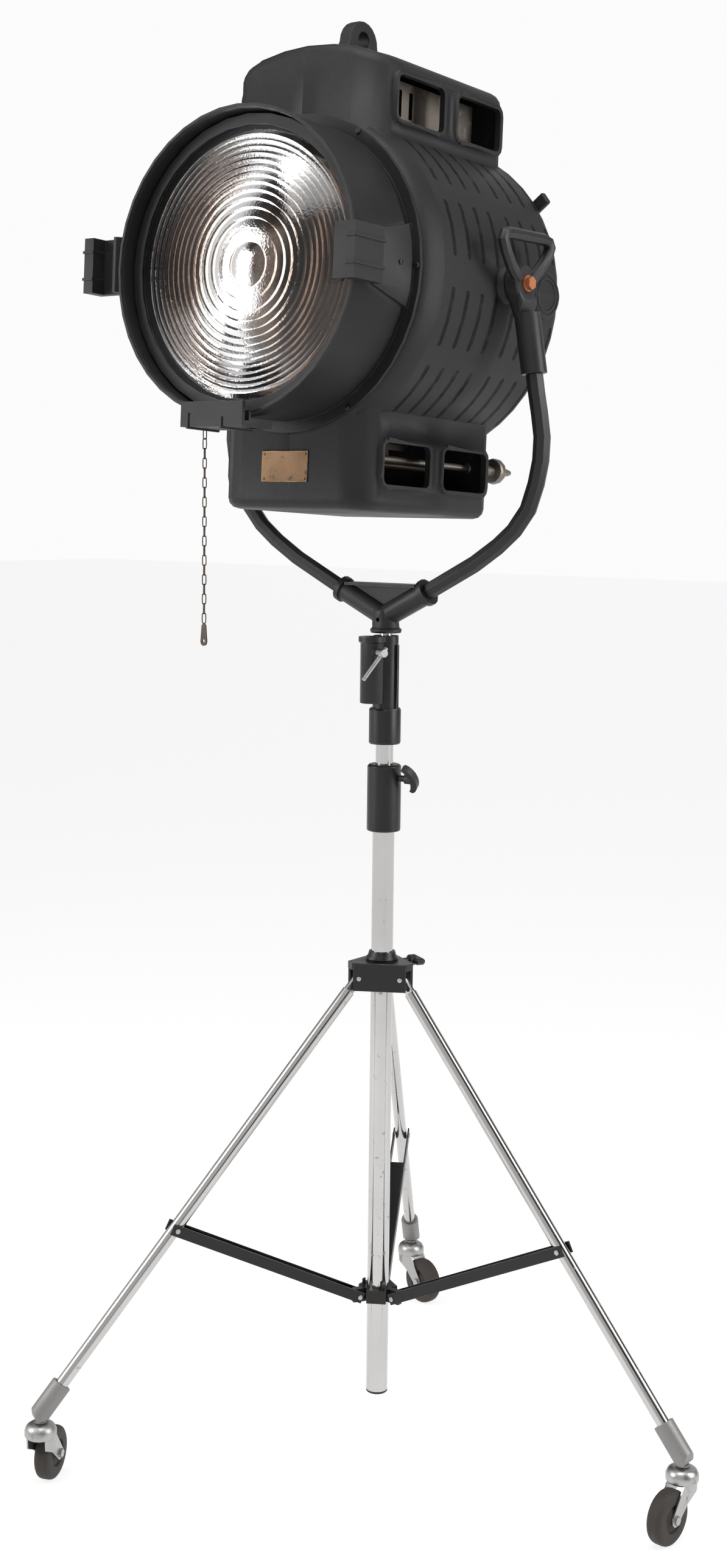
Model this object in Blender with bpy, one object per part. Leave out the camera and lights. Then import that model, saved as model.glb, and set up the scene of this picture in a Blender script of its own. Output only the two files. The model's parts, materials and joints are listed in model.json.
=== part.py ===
"""Fresnel spotlight of the 20 inch class on a rolling, folding stand.

Metres, +Z up.  The lamp head looks along -Y.  The origin is on the floor,
under the middle of the whole object.  Run it with
    blender --background --python part.py
or from Blender's text editor.
"""

from math import atan2, cos, hypot, pi, radians, sin

import bmesh
import bpy
from mathutils import Matrix, Vector

# ---------------------------------------------------------------- sizes
GAP = 0.0003                      # air left between pieces that touch
SEAM = 0.00015                    # half the joint between the two castings

POST_X = -0.166                   # the post stands left of the origin
POST_R = 0.022
POST_BOTTOM = 0.083
POST_TOP = 1.300
POST_WALL = 0.0018

LEG_AZIMUTHS = (0.0, 120.0, 240.0)
LEG_NAMES = ("right", "rear", "left")
LEG_R = 0.0127
CROWN_PIVOT = (0.050, 0.948)      # radius from the post's axis, height
STEM_POINT = (0.704, 0.150)       # where a caster's stem meets its leg
LEG_SPREAD = atan2(STEM_POINT[0] - CROWN_PIVOT[0], CROWN_PIVOT[1] - STEM_POINT[1])
LEG_LENGTH = hypot(STEM_POINT[0] - CROWN_PIVOT[0], CROWN_PIVOT[1] - STEM_POINT[1])

COLLAR_PIVOT = (0.047, 0.288)
BRACE_PIVOT = (0.435, 0.478)
BRACE_RISE = atan2(BRACE_PIVOT[1] - COLLAR_PIVOT[1], BRACE_PIVOT[0] - COLLAR_PIVOT[0])
BRACE_LENGTH = hypot(BRACE_PIVOT[0] - COLLAR_PIVOT[0], BRACE_PIVOT[1] - COLLAR_PIVOT[1])

WHEEL_R = 0.0508
WHEEL_WIDTH = 0.032
CASTER_TOP = 0.132
CASTER_TRAIL = 0.047
CASTER_AZIMUTHS = (265.0, 345.0, 112.0)    # where each wheel trails, by leg

RISER_R = 0.0175
RISER_BOTTOM = 0.160
COLLAR_Z = (1.243, 1.378)
COLLAR_R = 0.034
RECEIVER_Z = (1.419, 1.490, 1.636)
SPIGOT_BORE_R = 0.0143
SPIGOT_R = 0.0140
BORE_SIDES = 24
FREE_SOCKET_Y = -0.045            # the second, empty socket beside the first

HUB_BOTTOM = 1.641
TILT_AXIS = (-0.050, 2.305)       # y from the post's axis, height
YOKE_RAKE = TILT_AXIS[0] / (TILT_AXIS[1] - HUB_BOTTOM)
ARM_R = 0.0167

HEAD_TILT = radians(2.7)          # nose up
BARREL_R = 0.307
BARREL_SIDES = 48
WALL = 0.008
BOX_HALF = 0.180
BOX_Y = (-0.245, 0.160)
ROOF_Z = 0.4235
ROOF_DROP = 0.0335                # the roof is this much lower at its sides
FLOOR_Z = -0.430
UPPER_WINDOW_Z = (0.279, 0.360)
LOWER_WINDOW_Z = (-0.381, -0.304)
WINDOW_Y = ((-0.194, -0.050), (-0.004, 0.139))
MEDALLION = (0.130, -0.003, 0.045)         # y, z, radius

LENS_R = 0.2535
LENS_BACK_Y = -0.366
LENS_EDGE_Y = -0.382
LENS_STEPS = 14
DOOR_Y = 0.1875
FOCUS_X = 0.130
FOCUS_Z = -0.330
RAIL_Z = -0.335
CHAIN_TOP = (-0.072, -0.400, -0.3125)      # in the head's own frame
CHAIN_LENGTH = 0.335

TURN_Y = Matrix.Rotation(-pi / 2, 4, "X")  # a turned shape's axis goes to +Y
TURN_X = Matrix.Rotation(pi / 2, 4, "Y")   # a turned shape's axis goes to +X

FINISHES = {                      # colour, roughness, metallic
    "black_paint": ((0.018, 0.018, 0.020), 0.55, 0.0),
    "powder_coat": ((0.022, 0.022, 0.023), 0.50, 0.0),
    "chrome": ((0.62, 0.62, 0.63), 0.12, 1.0),
    "cast_alloy": ((0.42, 0.41, 0.40), 0.55, 0.9),
    "zinc": ((0.55, 0.56, 0.56), 0.38, 1.0),
    "rubber": ((0.030, 0.025, 0.022), 0.80, 0.0),
    "glass": ((0.80, 0.78, 0.74), 0.05, 0.0),
    "bronze": ((0.33, 0.20, 0.10), 0.40, 1.0),
    "copper_steel": ((0.45, 0.18, 0.08), 0.50, 0.8),
    "dull_steel": ((0.30, 0.28, 0.26), 0.50, 0.9),
    "mirror_metal": ((0.80, 0.80, 0.80), 0.08, 1.0),
}


# ---------------------------------------------------------------- tools
def clear_scene():
    for thing in list(bpy.data.objects):
        bpy.data.objects.remove(thing, do_unlink=True)


def finish(name):
    """The Principled material of one finish, made the first time it is asked for."""
    material = bpy.data.materials.get(name)
    if material is None:
        colour, roughness, metallic = FINISHES[name]
        material = bpy.data.materials.new(name)
        material.use_nodes = True
        shader = material.node_tree.nodes["Principled BSDF"]
        shader.inputs["Base Color"].default_value = (*colour, 1.0)
        shader.inputs["Roughness"].default_value = roughness
        shader.inputs["Metallic"].default_value = metallic
        if name == "glass":
            shader.inputs["Transmission Weight"].default_value = 1.0
    return material


def own_material(node_name, finish_name):
    material = finish(finish_name).copy()
    material.name = node_name + "_finish"
    return material


def to_mesh(bm):
    """A tidy mesh: doubles merged, every face looking out."""
    bmesh.ops.remove_doubles(bm, verts=bm.verts, dist=1e-6)
    bmesh.ops.recalc_face_normals(bm, faces=bm.faces)
    mesh = bpy.data.meshes.new("shape")
    bm.to_mesh(mesh)
    bm.free()
    return mesh


def turned(profile, segments=24):
    """A solid turned about Z from (radius, height) points.

    An outline that starts and ends on the axis is a full solid, and any
    other one is a ring.
    """
    bm = bmesh.new()
    points = [bm.verts.new((radius, 0.0, height)) for radius, height in profile]
    edges = [bm.edges.new(pair) for pair in zip(points, points[1:])]
    if profile[0][0] > 0.0 or profile[-1][0] > 0.0:
        edges.append(bm.edges.new((points[-1], points[0])))
    bmesh.ops.spin(bm, geom=points + edges, cent=(0, 0, 0), axis=(0, 0, 1),
                   angle=2 * pi, steps=segments, use_merge=True)
    return to_mesh(bm)


def rod(radius, low, high, segments=16, edge=0.0):
    """A round bar along Z with an optional chamfer at both ends."""
    if edge == 0.0:
        return turned([(0, low), (radius, low), (radius, high), (0, high)], segments)
    return turned([(0, low), (radius - edge, low), (radius, low + edge),
                   (radius, high - edge), (radius - edge, high), (0, high)], segments)


def tube(outer, inner, low, high, segments=24):
    return turned([(outer, low), (outer, high), (inner, high), (inner, low)], segments)


def prism(outline, low, high):
    """An outline in XY pulled up between two heights."""
    bm = bmesh.new()
    face = bm.faces.new([bm.verts.new((x, y, low)) for x, y in outline])
    pulled = bmesh.ops.extrude_face_region(bm, geom=[face])
    tops = [item for item in pulled["geom"] if isinstance(item, bmesh.types.BMVert)]
    bmesh.ops.translate(bm, vec=(0, 0, high - low), verts=tops)
    return to_mesh(bm)


def block(x, y, z, edge=0.0):
    """A box between low and high x, y and z, its edges rounded by a bevel."""
    bm = bmesh.new()
    size = (x[1] - x[0], y[1] - y[0], z[1] - z[0])
    centre = ((x[0] + x[1]) / 2, (y[0] + y[1]) / 2, (z[0] + z[1]) / 2)
    place = Matrix.Translation(centre) @ Matrix.Diagonal((*size, 1.0))
    bmesh.ops.create_cube(bm, size=1.0, matrix=place)
    if edge:
        bmesh.ops.bevel(bm, geom=bm.edges, offset=edge, segments=1,
                        profile=0.5, affect="EDGES", material=-1)
    return to_mesh(bm)


def arc(cx, cy, radius, start, end, steps):
    """Points on an arc, by angles in degrees."""
    angles = [radians(start + (end - start) * i / steps) for i in range(steps + 1)]
    return [(cx + radius * cos(a), cy + radius * sin(a)) for a in angles]


def rounded(x0, x1, y0, y1, near, far, steps=3):
    """A rectangle outline whose corners at y0 have radius near, at y1 radius far."""
    return (arc(x1 - far, y1 - far, far, 0, 90, steps)
            + arc(x0 + far, y1 - far, far, 90, 180, steps)
            + arc(x0 + near, y0 + near, near, 180, 270, steps)
            + arc(x1 - near, y0 + near, near, 270, 360, steps))


def moved(mesh, *matrices):
    """The mesh, moved by each matrix in turn."""
    for matrix in matrices:
        mesh.transform(matrix)
        if matrix.determinant() < 0:
            mesh.flip_normals()
    return mesh


def shift(x, y, z):
    return Matrix.Translation((x, y, z))


def standing_xz(mesh):
    """A prism drawn in XY stands up in XZ, and its height runs along -Y."""
    return moved(mesh, Matrix.Rotation(pi / 2, 4, "X"))


def standing_yz(mesh):
    """A prism drawn in XY stands up in YZ, and its height runs along +X."""
    return moved(mesh, Matrix(((0, 0, 1, 0), (1, 0, 0, 0), (0, 1, 0, 0), (0, 0, 0, 1))))


def standing_yz_plan(plan, low, high):
    """A prism along X from an outline of (y, z) points."""
    return standing_yz(prism(plan, low, high))


def joined(meshes):
    """Several meshes in one, without a Boolean."""
    bm = bmesh.new()
    for mesh in meshes:
        bm.from_mesh(mesh)
    result = bpy.data.meshes.new("shape")
    bm.to_mesh(result)
    bm.free()
    return result


def evaluated(thing):
    """The mesh that an object shows with its modifiers."""
    graph = bpy.context.evaluated_depsgraph_get()
    return bpy.data.meshes.new_from_object(thing.evaluated_get(graph), depsgraph=graph)


def boolean(base, tools, operation, solver="EXACT"):
    """One Boolean after another on a copy of the base."""
    work = bpy.data.objects.new("boolean_base", base.copy())
    bpy.context.scene.collection.objects.link(work)
    used = [work]
    for tool in tools:
        cutter = bpy.data.objects.new("boolean_tool", tool)
        cutter.hide_render = True
        cutter.display_type = "WIRE"
        bpy.context.scene.collection.objects.link(cutter)
        used.append(cutter)
        step = work.modifiers.new(operation.lower(), "BOOLEAN")
        step.operation = operation
        step.solver = solver
        step.object = cutter
    result = evaluated(work)
    for thing in used:
        bpy.data.objects.remove(thing, do_unlink=True)
    bm = bmesh.new()
    bm.from_mesh(result)
    bmesh.ops.remove_doubles(bm, verts=bm.verts, dist=2e-6)
    bmesh.ops.dissolve_limit(bm, angle_limit=radians(0.2), verts=bm.verts,
                             edges=bm.edges)
    bmesh.ops.triangulate(bm, faces=bm.faces)
    bm.to_mesh(result)
    bm.free()
    return result


def union(base, *tools, solver="EXACT"):
    return boolean(base, tools, "UNION", solver)


def cut(base, *tools, solver="EXACT"):
    return boolean(base, tools, "DIFFERENCE", solver)


def common(base, *tools):
    return boolean(base, tools, "INTERSECT")


def smooth_path(points, steps):
    """A Catmull-Rom curve through the points."""
    points = [Vector(p) for p in points]
    ends = [points[0] * 2 - points[1]] + points + [points[-1] * 2 - points[-2]]
    path = []
    for p0, p1, p2, p3 in zip(ends, ends[1:], ends[2:], ends[3:]):
        for i in range(steps):
            t = i / steps
            path.append(0.5 * (2 * p1 + (p2 - p0) * t + (2 * p0 - 5 * p1 + 4 * p2 - p3) * t * t
                               + (3 * p1 - p0 - 3 * p2 + p3) * t ** 3))
    return path + [points[-1]]


def pipe(path, radius, resolution=3, closed=False):
    """A round bar along a path, made by a curve with a bevel and filled ends."""
    curve = bpy.data.curves.new("pipe", "CURVE")
    curve.dimensions = "3D"
    curve.bevel_depth = radius
    curve.bevel_resolution = resolution
    curve.use_fill_caps = True
    spline = curve.splines.new("POLY")
    spline.points.add(len(path) - 1)
    for point, place in zip(spline.points, path):
        point.co = (*place, 1.0)
    spline.use_cyclic_u = closed
    thing = bpy.data.objects.new("pipe", curve)
    bpy.context.scene.collection.objects.link(thing)
    mesh = evaluated(thing)
    bpy.data.objects.remove(thing, do_unlink=True)
    bm = bmesh.new()
    bm.from_mesh(mesh)
    return to_mesh(bm)


def hull(*meshes):
    """The convex skin round several meshes, such as a cast neck between two forms."""
    bm = bmesh.new()
    for mesh in meshes:
        bm.from_mesh(mesh)
    skin = bmesh.ops.convex_hull(bm, input=bm.verts)
    inner = [item for item in skin["geom_interior"] if isinstance(item, bmesh.types.BMVert)]
    bmesh.ops.delete(bm, geom=inner, context="VERTS")
    keep = {f for f in skin["geom"] if isinstance(f, bmesh.types.BMFace)}
    bmesh.ops.delete(bm, geom=[f for f in bm.faces if f not in keep], context="FACES")
    return to_mesh(bm)


def between(start, end, radius, segments=16):
    """A round bar from one point to another."""
    start, end = Vector(start), Vector(end)
    run = end - start
    turn = run.to_track_quat("Z", "Y").to_matrix().to_4x4()
    return moved(rod(radius, 0.0, run.length, segments), turn, Matrix.Translation(start))


def empty(name, parent, location, rotation=(0, 0, 0)):
    thing = bpy.data.objects.new(name, None)
    bpy.context.scene.collection.objects.link(thing)
    thing.parent = parent
    thing.location = location
    thing.rotation_euler = rotation
    return thing


def piece(name, mesh, finish_name, parent, location=(0, 0, 0), rotation=(0, 0, 0)):
    """One named sub-part of the object."""
    mesh.name = name
    mesh.materials.clear()
    mesh.materials.append(own_material(name, finish_name))
    mesh.shade_smooth()
    mesh.set_sharp_from_angle(angle=radians(34))
    thing = bpy.data.objects.new(name, mesh)
    bpy.context.scene.collection.objects.link(thing)
    thing.parent = parent
    thing.location = location
    thing.rotation_euler = rotation
    return thing


# ---------------------------------------------------------------- head casting
def roof_height(x):
    return ROOF_Z - ROOF_DROP * (x / 0.17) ** 2


def box_shape(up, inset):
    """A flat-sided box on the barrel: footprint pulled up, edge of its lid rounded.

    The upper box has an arched roof, the lower one a flat floor.
    """
    outline = rounded(-BOX_HALF + inset, BOX_HALF - inset, BOX_Y[0] + inset,
                      BOX_Y[1] - inset, 0.065 - inset, 0.025 - inset, 4)
    bm = bmesh.new()
    face = bm.faces.new([bm.verts.new((x, y, 0.0)) for x, y in outline])
    pulled = bmesh.ops.extrude_face_region(bm, geom=[face])
    tops = [item for item in pulled["geom"] if isinstance(item, bmesh.types.BMVert)]
    bmesh.ops.translate(bm, vec=(0, 0, 0.4), verts=tops)
    for x in (-0.11, -0.055, 0.0, 0.055, 0.11):
        bmesh.ops.bisect_plane(bm, geom=bm.verts[:] + bm.edges[:] + bm.faces[:],
                               plane_co=(x, 0, 0), plane_no=(1, 0, 0))
    for vert in bm.verts:
        if vert.co.z > 0.1:
            vert.co.z = (roof_height(vert.co.x) if up else -FLOOR_Z) - inset
    bm.normal_update()
    rim = [e for e in bm.edges if len(e.link_faces) == 2
           and {abs(f.normal.z) > 0.5 for f in e.link_faces} == {True, False}
           and e.verts[0].co.z > 0.1]
    bmesh.ops.bevel(bm, geom=rim, offset=0.020 - inset, segments=3, profile=0.5,
                    affect="EDGES", clamp_overlap=True, material=-1)
    mesh = to_mesh(bm)
    return mesh if up else moved(mesh, Matrix.Diagonal((1, 1, -1, 1)))


def barrel_shape():
    """The round body, with its rolled shoulder in front and rounded edge behind."""
    front = [(0.0, -0.250), (0.288, -0.250), (0.2935, -0.2455), (0.2985, -0.235),
             (0.3035, -0.221), (BARREL_R, -0.204)]
    rear = [(BARREL_R, 0.168), (0.3045, 0.179), (0.2985, 0.1865), (0.0, 0.1865)]
    return moved(turned(front + rear, BARREL_SIDES), TURN_Y)


def window(z, y, inset, x, radius):
    """A rounded window's prism across the side wall."""
    outline = rounded(y[0] - inset, y[1] + inset, z[0] - inset, z[1] + inset,
                      radius, radius, 3)
    return standing_yz_plan(outline, x[0], x[1])


def housing():
    """The two head castings, which meet at a vertical seam in the middle.

    The exact solver leaves this thin-walled shell open, so the manifold one makes it.
    """
    thin = "MANIFOLD"
    outer = union(barrel_shape(), box_shape(True, 0.0), box_shape(False, 0.0), solver=thin)
    lips = []
    openings = []
    for z in (UPPER_WINDOW_Z, LOWER_WINDOW_Z):
        for y in WINDOW_Y:
            for side in (1, -1):
                lip = window(z, y, 0.009, (0.170, 0.1835), 0.021)
                opening = window(z, y, 0.0, (0.100, 0.250), 0.012)
                if side < 0:
                    moved(lip, Matrix.Diagonal((-1, 1, 1, 1)))
                    moved(opening, Matrix.Diagonal((-1, 1, 1, 1)))
                lips.append(lip)
                openings.append(opening)
    bosses = [moved(rod(0.036, 0.290, 0.3195, 20, 0.003), TURN_X)]
    bosses.append(moved(rod(0.036, -0.3195, -0.290, 20, 0.003), TURN_X))
    ears = [block((-0.3290, -0.2930), (0.160, 0.2050), z) for z in ((0.052, 0.066), (-0.066, -0.052))]
    outer = union(outer, joined(lips), joined(bosses), joined(ears), solver=thin)

    inner = moved(turned([(0, BOX_Y[0] + WALL), (BARREL_R - 2 * WALL, BOX_Y[0] + WALL),
                          (BARREL_R - WALL, -0.215), (BARREL_R - WALL, 0.1785),
                          (0, 0.1785)], BARREL_SIDES), TURN_Y)
    cavity = union(inner, box_shape(True, WALL), box_shape(False, WALL), solver=thin)
    front_bore = moved(rod(0.2625, -0.300, -0.200, 48), TURN_Y)
    rear_bore = moved(rod(0.2600, 0.150, 0.230, 48), TURN_Y)
    bolt_holes = moved(rod(0.0075, -0.350, 0.350, 12), TURN_X)
    screw_hole = moved(rod(0.0105, 0.140, 0.180, 12), TURN_Y, shift(FOCUS_X, 0, FOCUS_Z))
    shell = cut(outer, cavity, front_bore, rear_bore, bolt_holes, screw_hole, joined(openings),
                solver=thin)
    halves = []
    for side, name in ((-1, "housing_left"), (1, "housing_right")):
        far = (side * SEAM, side * -0.6)
        other_side = block((min(far), max(far)), (-0.6, 0.6), (-0.6, 0.6))
        halves.append((name, cut(shell, other_side, solver=thin)))
    return halves


# ---------------------------------------------------------------- lens end
def lens_barrel():
    """The sheet barrel with its screwed flange, rolled lip and side pad."""
    flange = [(0.2920, -0.2503), (0.2920, -0.2580), (0.2705, -0.2580)]
    outside = [(0.2740, -0.4180), (0.2770, -0.4225), (0.2770, -0.4270)]
    inside = [(0.2715, -0.4270), (0.2700, -0.4190), (0.2665, -0.2503)]
    ring = moved(turned(flange + outside + inside, 40), TURN_Y)
    pad_plan = [(-0.3700, -0.048), (-0.3700, 0.048), (-0.2580, 0.074), (-0.2580, -0.074)]
    pad = common(moved(tube(0.2785, 0.2690, -0.3700, -0.2560, 40), TURN_Y),
                 standing_yz_plan(pad_plan, 0.200, 0.300))
    return union(ring, pad)


def fresnel_lens():
    """The stepped lens: flat behind, convex steps in front whose risers face in."""
    radii = [0.0415 * k ** 0.65 for k in range(1, LENS_STEPS + 1)] + [LENS_R]
    profile = [(0.0, -0.3885), (0.022, -0.3868), (radii[0], LENS_EDGE_Y)]
    for inner, outer in zip(radii, radii[1:]):
        depth = min(0.0085, (outer - inner) * inner / 0.30)
        crest = LENS_EDGE_Y - depth * 0.75
        profile.append((inner + 0.0004, crest))
        profile.append((outer, LENS_EDGE_Y + depth * 0.25))
    profile[-1] = (LENS_R, LENS_EDGE_Y)
    profile += [(LENS_R, LENS_BACK_Y), (0.0, LENS_BACK_Y)]
    return moved(turned(profile, 32), TURN_Y)


def lens_ring():
    """The flat ring that clamps the lens, with a shelf behind it at its rim."""
    profile = [(0.2660, -0.3860), (0.2660, -0.3500), (0.2545, -0.3500),
               (0.2545, -0.3835), (0.2465, -0.3935), (0.2465, -0.3960), (0.2660, -0.3960)]
    return moved(turned(profile, 32), TURN_Y)


def bracket(width, ribs):
    """An accessory channel for the lens end, drawn at the +X side.

    It hooks over the lip, and leaves a slot for a scrim or a barn door.
    """
    plan = [(0.2790, -0.3703), (0.2790, -0.4290), (0.2650, -0.4290), (0.2650, -0.4340),
            (0.2840, -0.4340), (0.2840, -0.4450), (0.2500, -0.4450), (0.2500, -0.4530),
            (0.2950, -0.4530), (0.2950, -0.3703)]
    body = prism(plan, width[0], width[1])
    extra = [block((0.2600, 0.2985), (-0.4555, -0.3680), (z - 0.003, z + 0.003), 0.001)
             for z in ribs]
    keep_clear = moved(rod(0.2787, -0.4600, -0.3000, 40), TURN_Y)
    extra = [cut(rib, keep_clear) for rib in extra]
    return union(body, *extra)


def left_bracket():
    """The wider channel casting at the left of the lens end."""
    plan = [(-0.2790, -0.3850), (-0.2790, -0.4150), (-0.2870, -0.4250), (-0.2930, -0.4250),
            (-0.2930, -0.4010), (-0.3370, -0.4010), (-0.3370, -0.4330), (-0.3600, -0.4330),
            (-0.3600, -0.3850)]
    body = prism(plan, -0.040, 0.062)
    ribs = [block((-0.3625, -0.3365), (-0.4350, -0.3840), (z - 0.0025, z + 0.0025))
            for z in (-0.014, 0.036)]
    return union(body, *ribs)


def lifting_eye():
    """The hoop on the roof that the head is hoisted by."""
    outline = [(-0.020, 0.4240), (-0.027, 0.4330)]
    outline += arc(-0.0825, 0.4560, 0.0435, 0, 180, 10)
    outline += [(-0.138, 0.4330), (-0.145, 0.4240)]
    body = standing_yz_plan(outline, -0.014, 0.014)
    hole = moved(rod(0.0165, -0.03, 0.03, 16), TURN_X, shift(0, -0.0825, 0.4620))
    return cut(body, hole)


def medallion():
    """A cast disc that lies on the barrel's side."""
    y, z, radius = MEDALLION
    disc = moved(rod(radius, 0.250, 0.350, 28), TURN_X, shift(0, y, z))
    skin = tube(BARREL_R + 0.0050, BARREL_R + 0.0008, y - 0.06, y + 0.06, BARREL_SIDES)
    return common(moved(skin, TURN_Y), disc)


def rear_door():
    """The domed rear door, with its hinge lug."""
    profile = [(0.0, 0.2140), (0.120, 0.2105), (0.215, 0.2020), (0.262, 0.1965),
               (0.288, 0.1965), (0.2895, 0.1940), (0.2895, DOOR_Y), (0.240, DOOR_Y),
               (0.215, 0.1960), (0.120, 0.2045), (0.0, 0.2080)]
    disc = moved(turned(profile, 36), TURN_Y)
    lug = block((-0.3190, -0.2800), (DOOR_Y + 0.001, 0.1960), (-0.045, 0.045))
    knuckle = moved(rod(0.0070, -0.0500, 0.0500, 12), shift(-0.3210, 0.1965, 0))
    return union(disc, lug, knuckle)


# ---------------------------------------------------------------- head insides
def lamp_carriage():
    """The sliding plate, its column, and the lamp's socket on top."""
    plate = block((-0.115, 0.112), (-0.050, 0.090), (RAIL_Z + 0.0063, RAIL_Z + 0.0140))
    column = block((-0.022, 0.022), (0.004, 0.036), (-0.325, -0.130))
    socket = moved(rod(0.030, -0.140, -0.085, 16, 0.003), shift(0, 0.020, 0))
    arm = block((-0.010, 0.010), (0.030, 0.122), (-0.300, -0.288))
    back = block((-0.010, 0.010), (0.112, 0.122), (-0.300, -0.080))
    return union(plate, column, socket, arm, back)


def lamp_globe():
    """The lamp: a globe on its neck."""
    centre = 0.0
    profile = [(0.0, -0.0847), (0.017, -0.0847), (0.019, -0.060)]
    profile += [(0.055 * cos(radians(a)), centre + 0.055 * sin(radians(a)))
                for a in range(-60, 90, 18)]
    profile.append((0.0, centre + 0.055))
    return moved(turned(profile, 16), shift(0, 0.020, 0))


def reflector():
    """The spherical mirror behind the lamp."""
    radius = 0.105
    outer = [(radius * sin(radians(a)), radius * cos(radians(a))) for a in range(0, 64, 12)]
    inner = [((radius - 0.003) * sin(radians(a)), (radius - 0.003) * cos(radians(a)))
             for a in range(60, -1, -12)]
    return moved(turned(outer + inner, 18), TURN_Y, shift(0, 0.006, 0))


def focus_screw():
    """The focusing screw, with its disc and tip behind the lower box."""
    profile = [(0.0, -0.230), (0.0070, -0.230), (0.0070, 0.150), (0.0098, 0.151),
               (0.0098, 0.236), (0.0240, 0.238), (0.0260, 0.243), (0.0260, 0.252),
               (0.0240, 0.257), (0.0090, 0.259), (0.0080, 0.290), (0.0050, 0.305), (0.0, 0.305)]
    return moved(turned(profile, 12), TURN_Y)


# ---------------------------------------------------------------- yoke
def rake(mesh):
    """Leans a yoke piece forward, a little more for each step up."""
    lean = Matrix.Identity(4)
    lean[1][2] = YOKE_RAKE
    lean[1][3] = -YOKE_RAKE * HUB_BOTTOM
    return moved(mesh, lean)


def yoke_hub():
    """The Y casting, with a rolled foot, two round sockets and a web between them."""
    foot = turned([(0, HUB_BOTTOM), (0.0300, HUB_BOTTOM), (0.0316, HUB_BOTTOM + 0.003),
                   (0.0316, HUB_BOTTOM + 0.007), (0.0275, HUB_BOTTOM + 0.011),
                   (0.0268, HUB_BOTTOM + 0.030), (0.0262, 1.686), (0, 1.686)], 16)
    forms = [foot]
    for side in (1, -1):
        direction = Vector((side * 0.111, 0, 0.0550)).normalized()
        root = Vector((0, 0, 1.6740))
        forms.append(between(root, root + direction * 0.117, 0.0225, 14))
        forms.append(between(root + direction * 0.109, root + direction * 0.119, 0.0272, 14))
    lid = block((-0.0860, 0.0860), (-0.0190, 0.0190), (1.7340, 1.7400))
    web = standing_xz(prism([(-0.075, 1.737), (0.0, 1.680), (0.075, 1.737)], -0.0050, 0.0050))
    hub = union(forms[0], *forms[1:], lid, web)
    screw_hole = moved(rod(0.0045, -0.060, -0.015, 10), TURN_Y, shift(0.0, 0, 1.668))
    return rake(cut(hub, screw_hole))


ARM_LINE = [(0.1076, 1.7274), (0.161, 1.755), (0.217, 1.784), (0.271, 1.819), (0.309, 1.850),
            (0.341, 1.890), (0.360, 1.938), (0.371, 1.981), (0.375, 2.024), (0.3705, 2.067)]
SOCKET_LINE = ((0.3610, 2.140), (0.3480, 2.250))


def yoke_arm():
    """The bent tube of the right-hand arm."""
    line = ARM_LINE + [(0.3650, 2.105), (0.3610, 2.1395)]
    path = smooth_path([(x, 0.0, z) for x, z in line], 1)
    return rake(pipe(path, ARM_R, 2))


def tilt_fitting():
    """The casting at an arm's end: tube socket, tapered neck, boss and D handle."""
    low = Vector((SOCKET_LINE[0][0], 0, SOCKET_LINE[0][1]))
    high = Vector((SOCKET_LINE[1][0], 0, SOCKET_LINE[1][1]))
    socket = between(low + Vector((0, 0, 0.0003)), high, 0.0243, 18)
    boss = moved(rod(0.034, 0.3200, 0.3490, 20, 0.003), TURN_X, shift(0, 0, TILT_AXIS[1]))
    neck_low = between(high - Vector((0.0015, 0, 0.010)), high, 0.0235, 14)
    neck_high = block((0.3210, 0.3475), (-0.0260, 0.0260), (2.285, 2.292))
    neck = hull(neck_low, neck_high)
    flat = block((0.3500, 0.4200), (-0.05, 0.05), (2.205, 2.290))
    moved(flat, shift(-0.350, 0, -2.262), Matrix.Rotation(radians(20), 4, "Y"), shift(0.352, 0, 2.262))
    bar_x = 0.3450
    handle = [(-0.022, 2.312), (-0.052, 2.333), (-0.076, 2.358), (-0.086, 2.376), (-0.080, 2.386),
              (-0.066, 2.389), (0.052, 2.389), (0.067, 2.386), (0.073, 2.376), (0.064, 2.358),
              (0.044, 2.335), (0.020, 2.312)]
    bulge = [(bar_x + 0.010 * min(1.0, (z - 2.312) / 0.05), y, z) for y, z in handle]
    loop = pipe(bulge, 0.0112, 2)
    fitting = union(socket, boss, cut(neck, flat), loop)
    bore = moved(rod(0.0075, 0.300, 0.400, 12), TURN_X, shift(0, 0, TILT_AXIS[1]))
    flare = moved(rod(0.0165, 0.3486, 0.400, 16), TURN_X, shift(0, 0, TILT_AXIS[1]))
    return rake(cut(fitting, bore, flare))


def tilt_bolt():
    """The hexagon bolt and its washer, in the head's own frame."""
    washer = moved(rod(0.0150, 0.3489, 0.3530, 16), TURN_X)
    head = moved(rod(0.0128, 0.3520, 0.3625, 6, 0.0012), TURN_X)
    shank = moved(rod(0.0060, 0.2960, 0.3500, 12), TURN_X)
    return union(washer, head, shank)


def mirrored(mesh):
    return moved(mesh.copy(), Matrix.Diagonal((-1, 1, 1, 1)))


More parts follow.
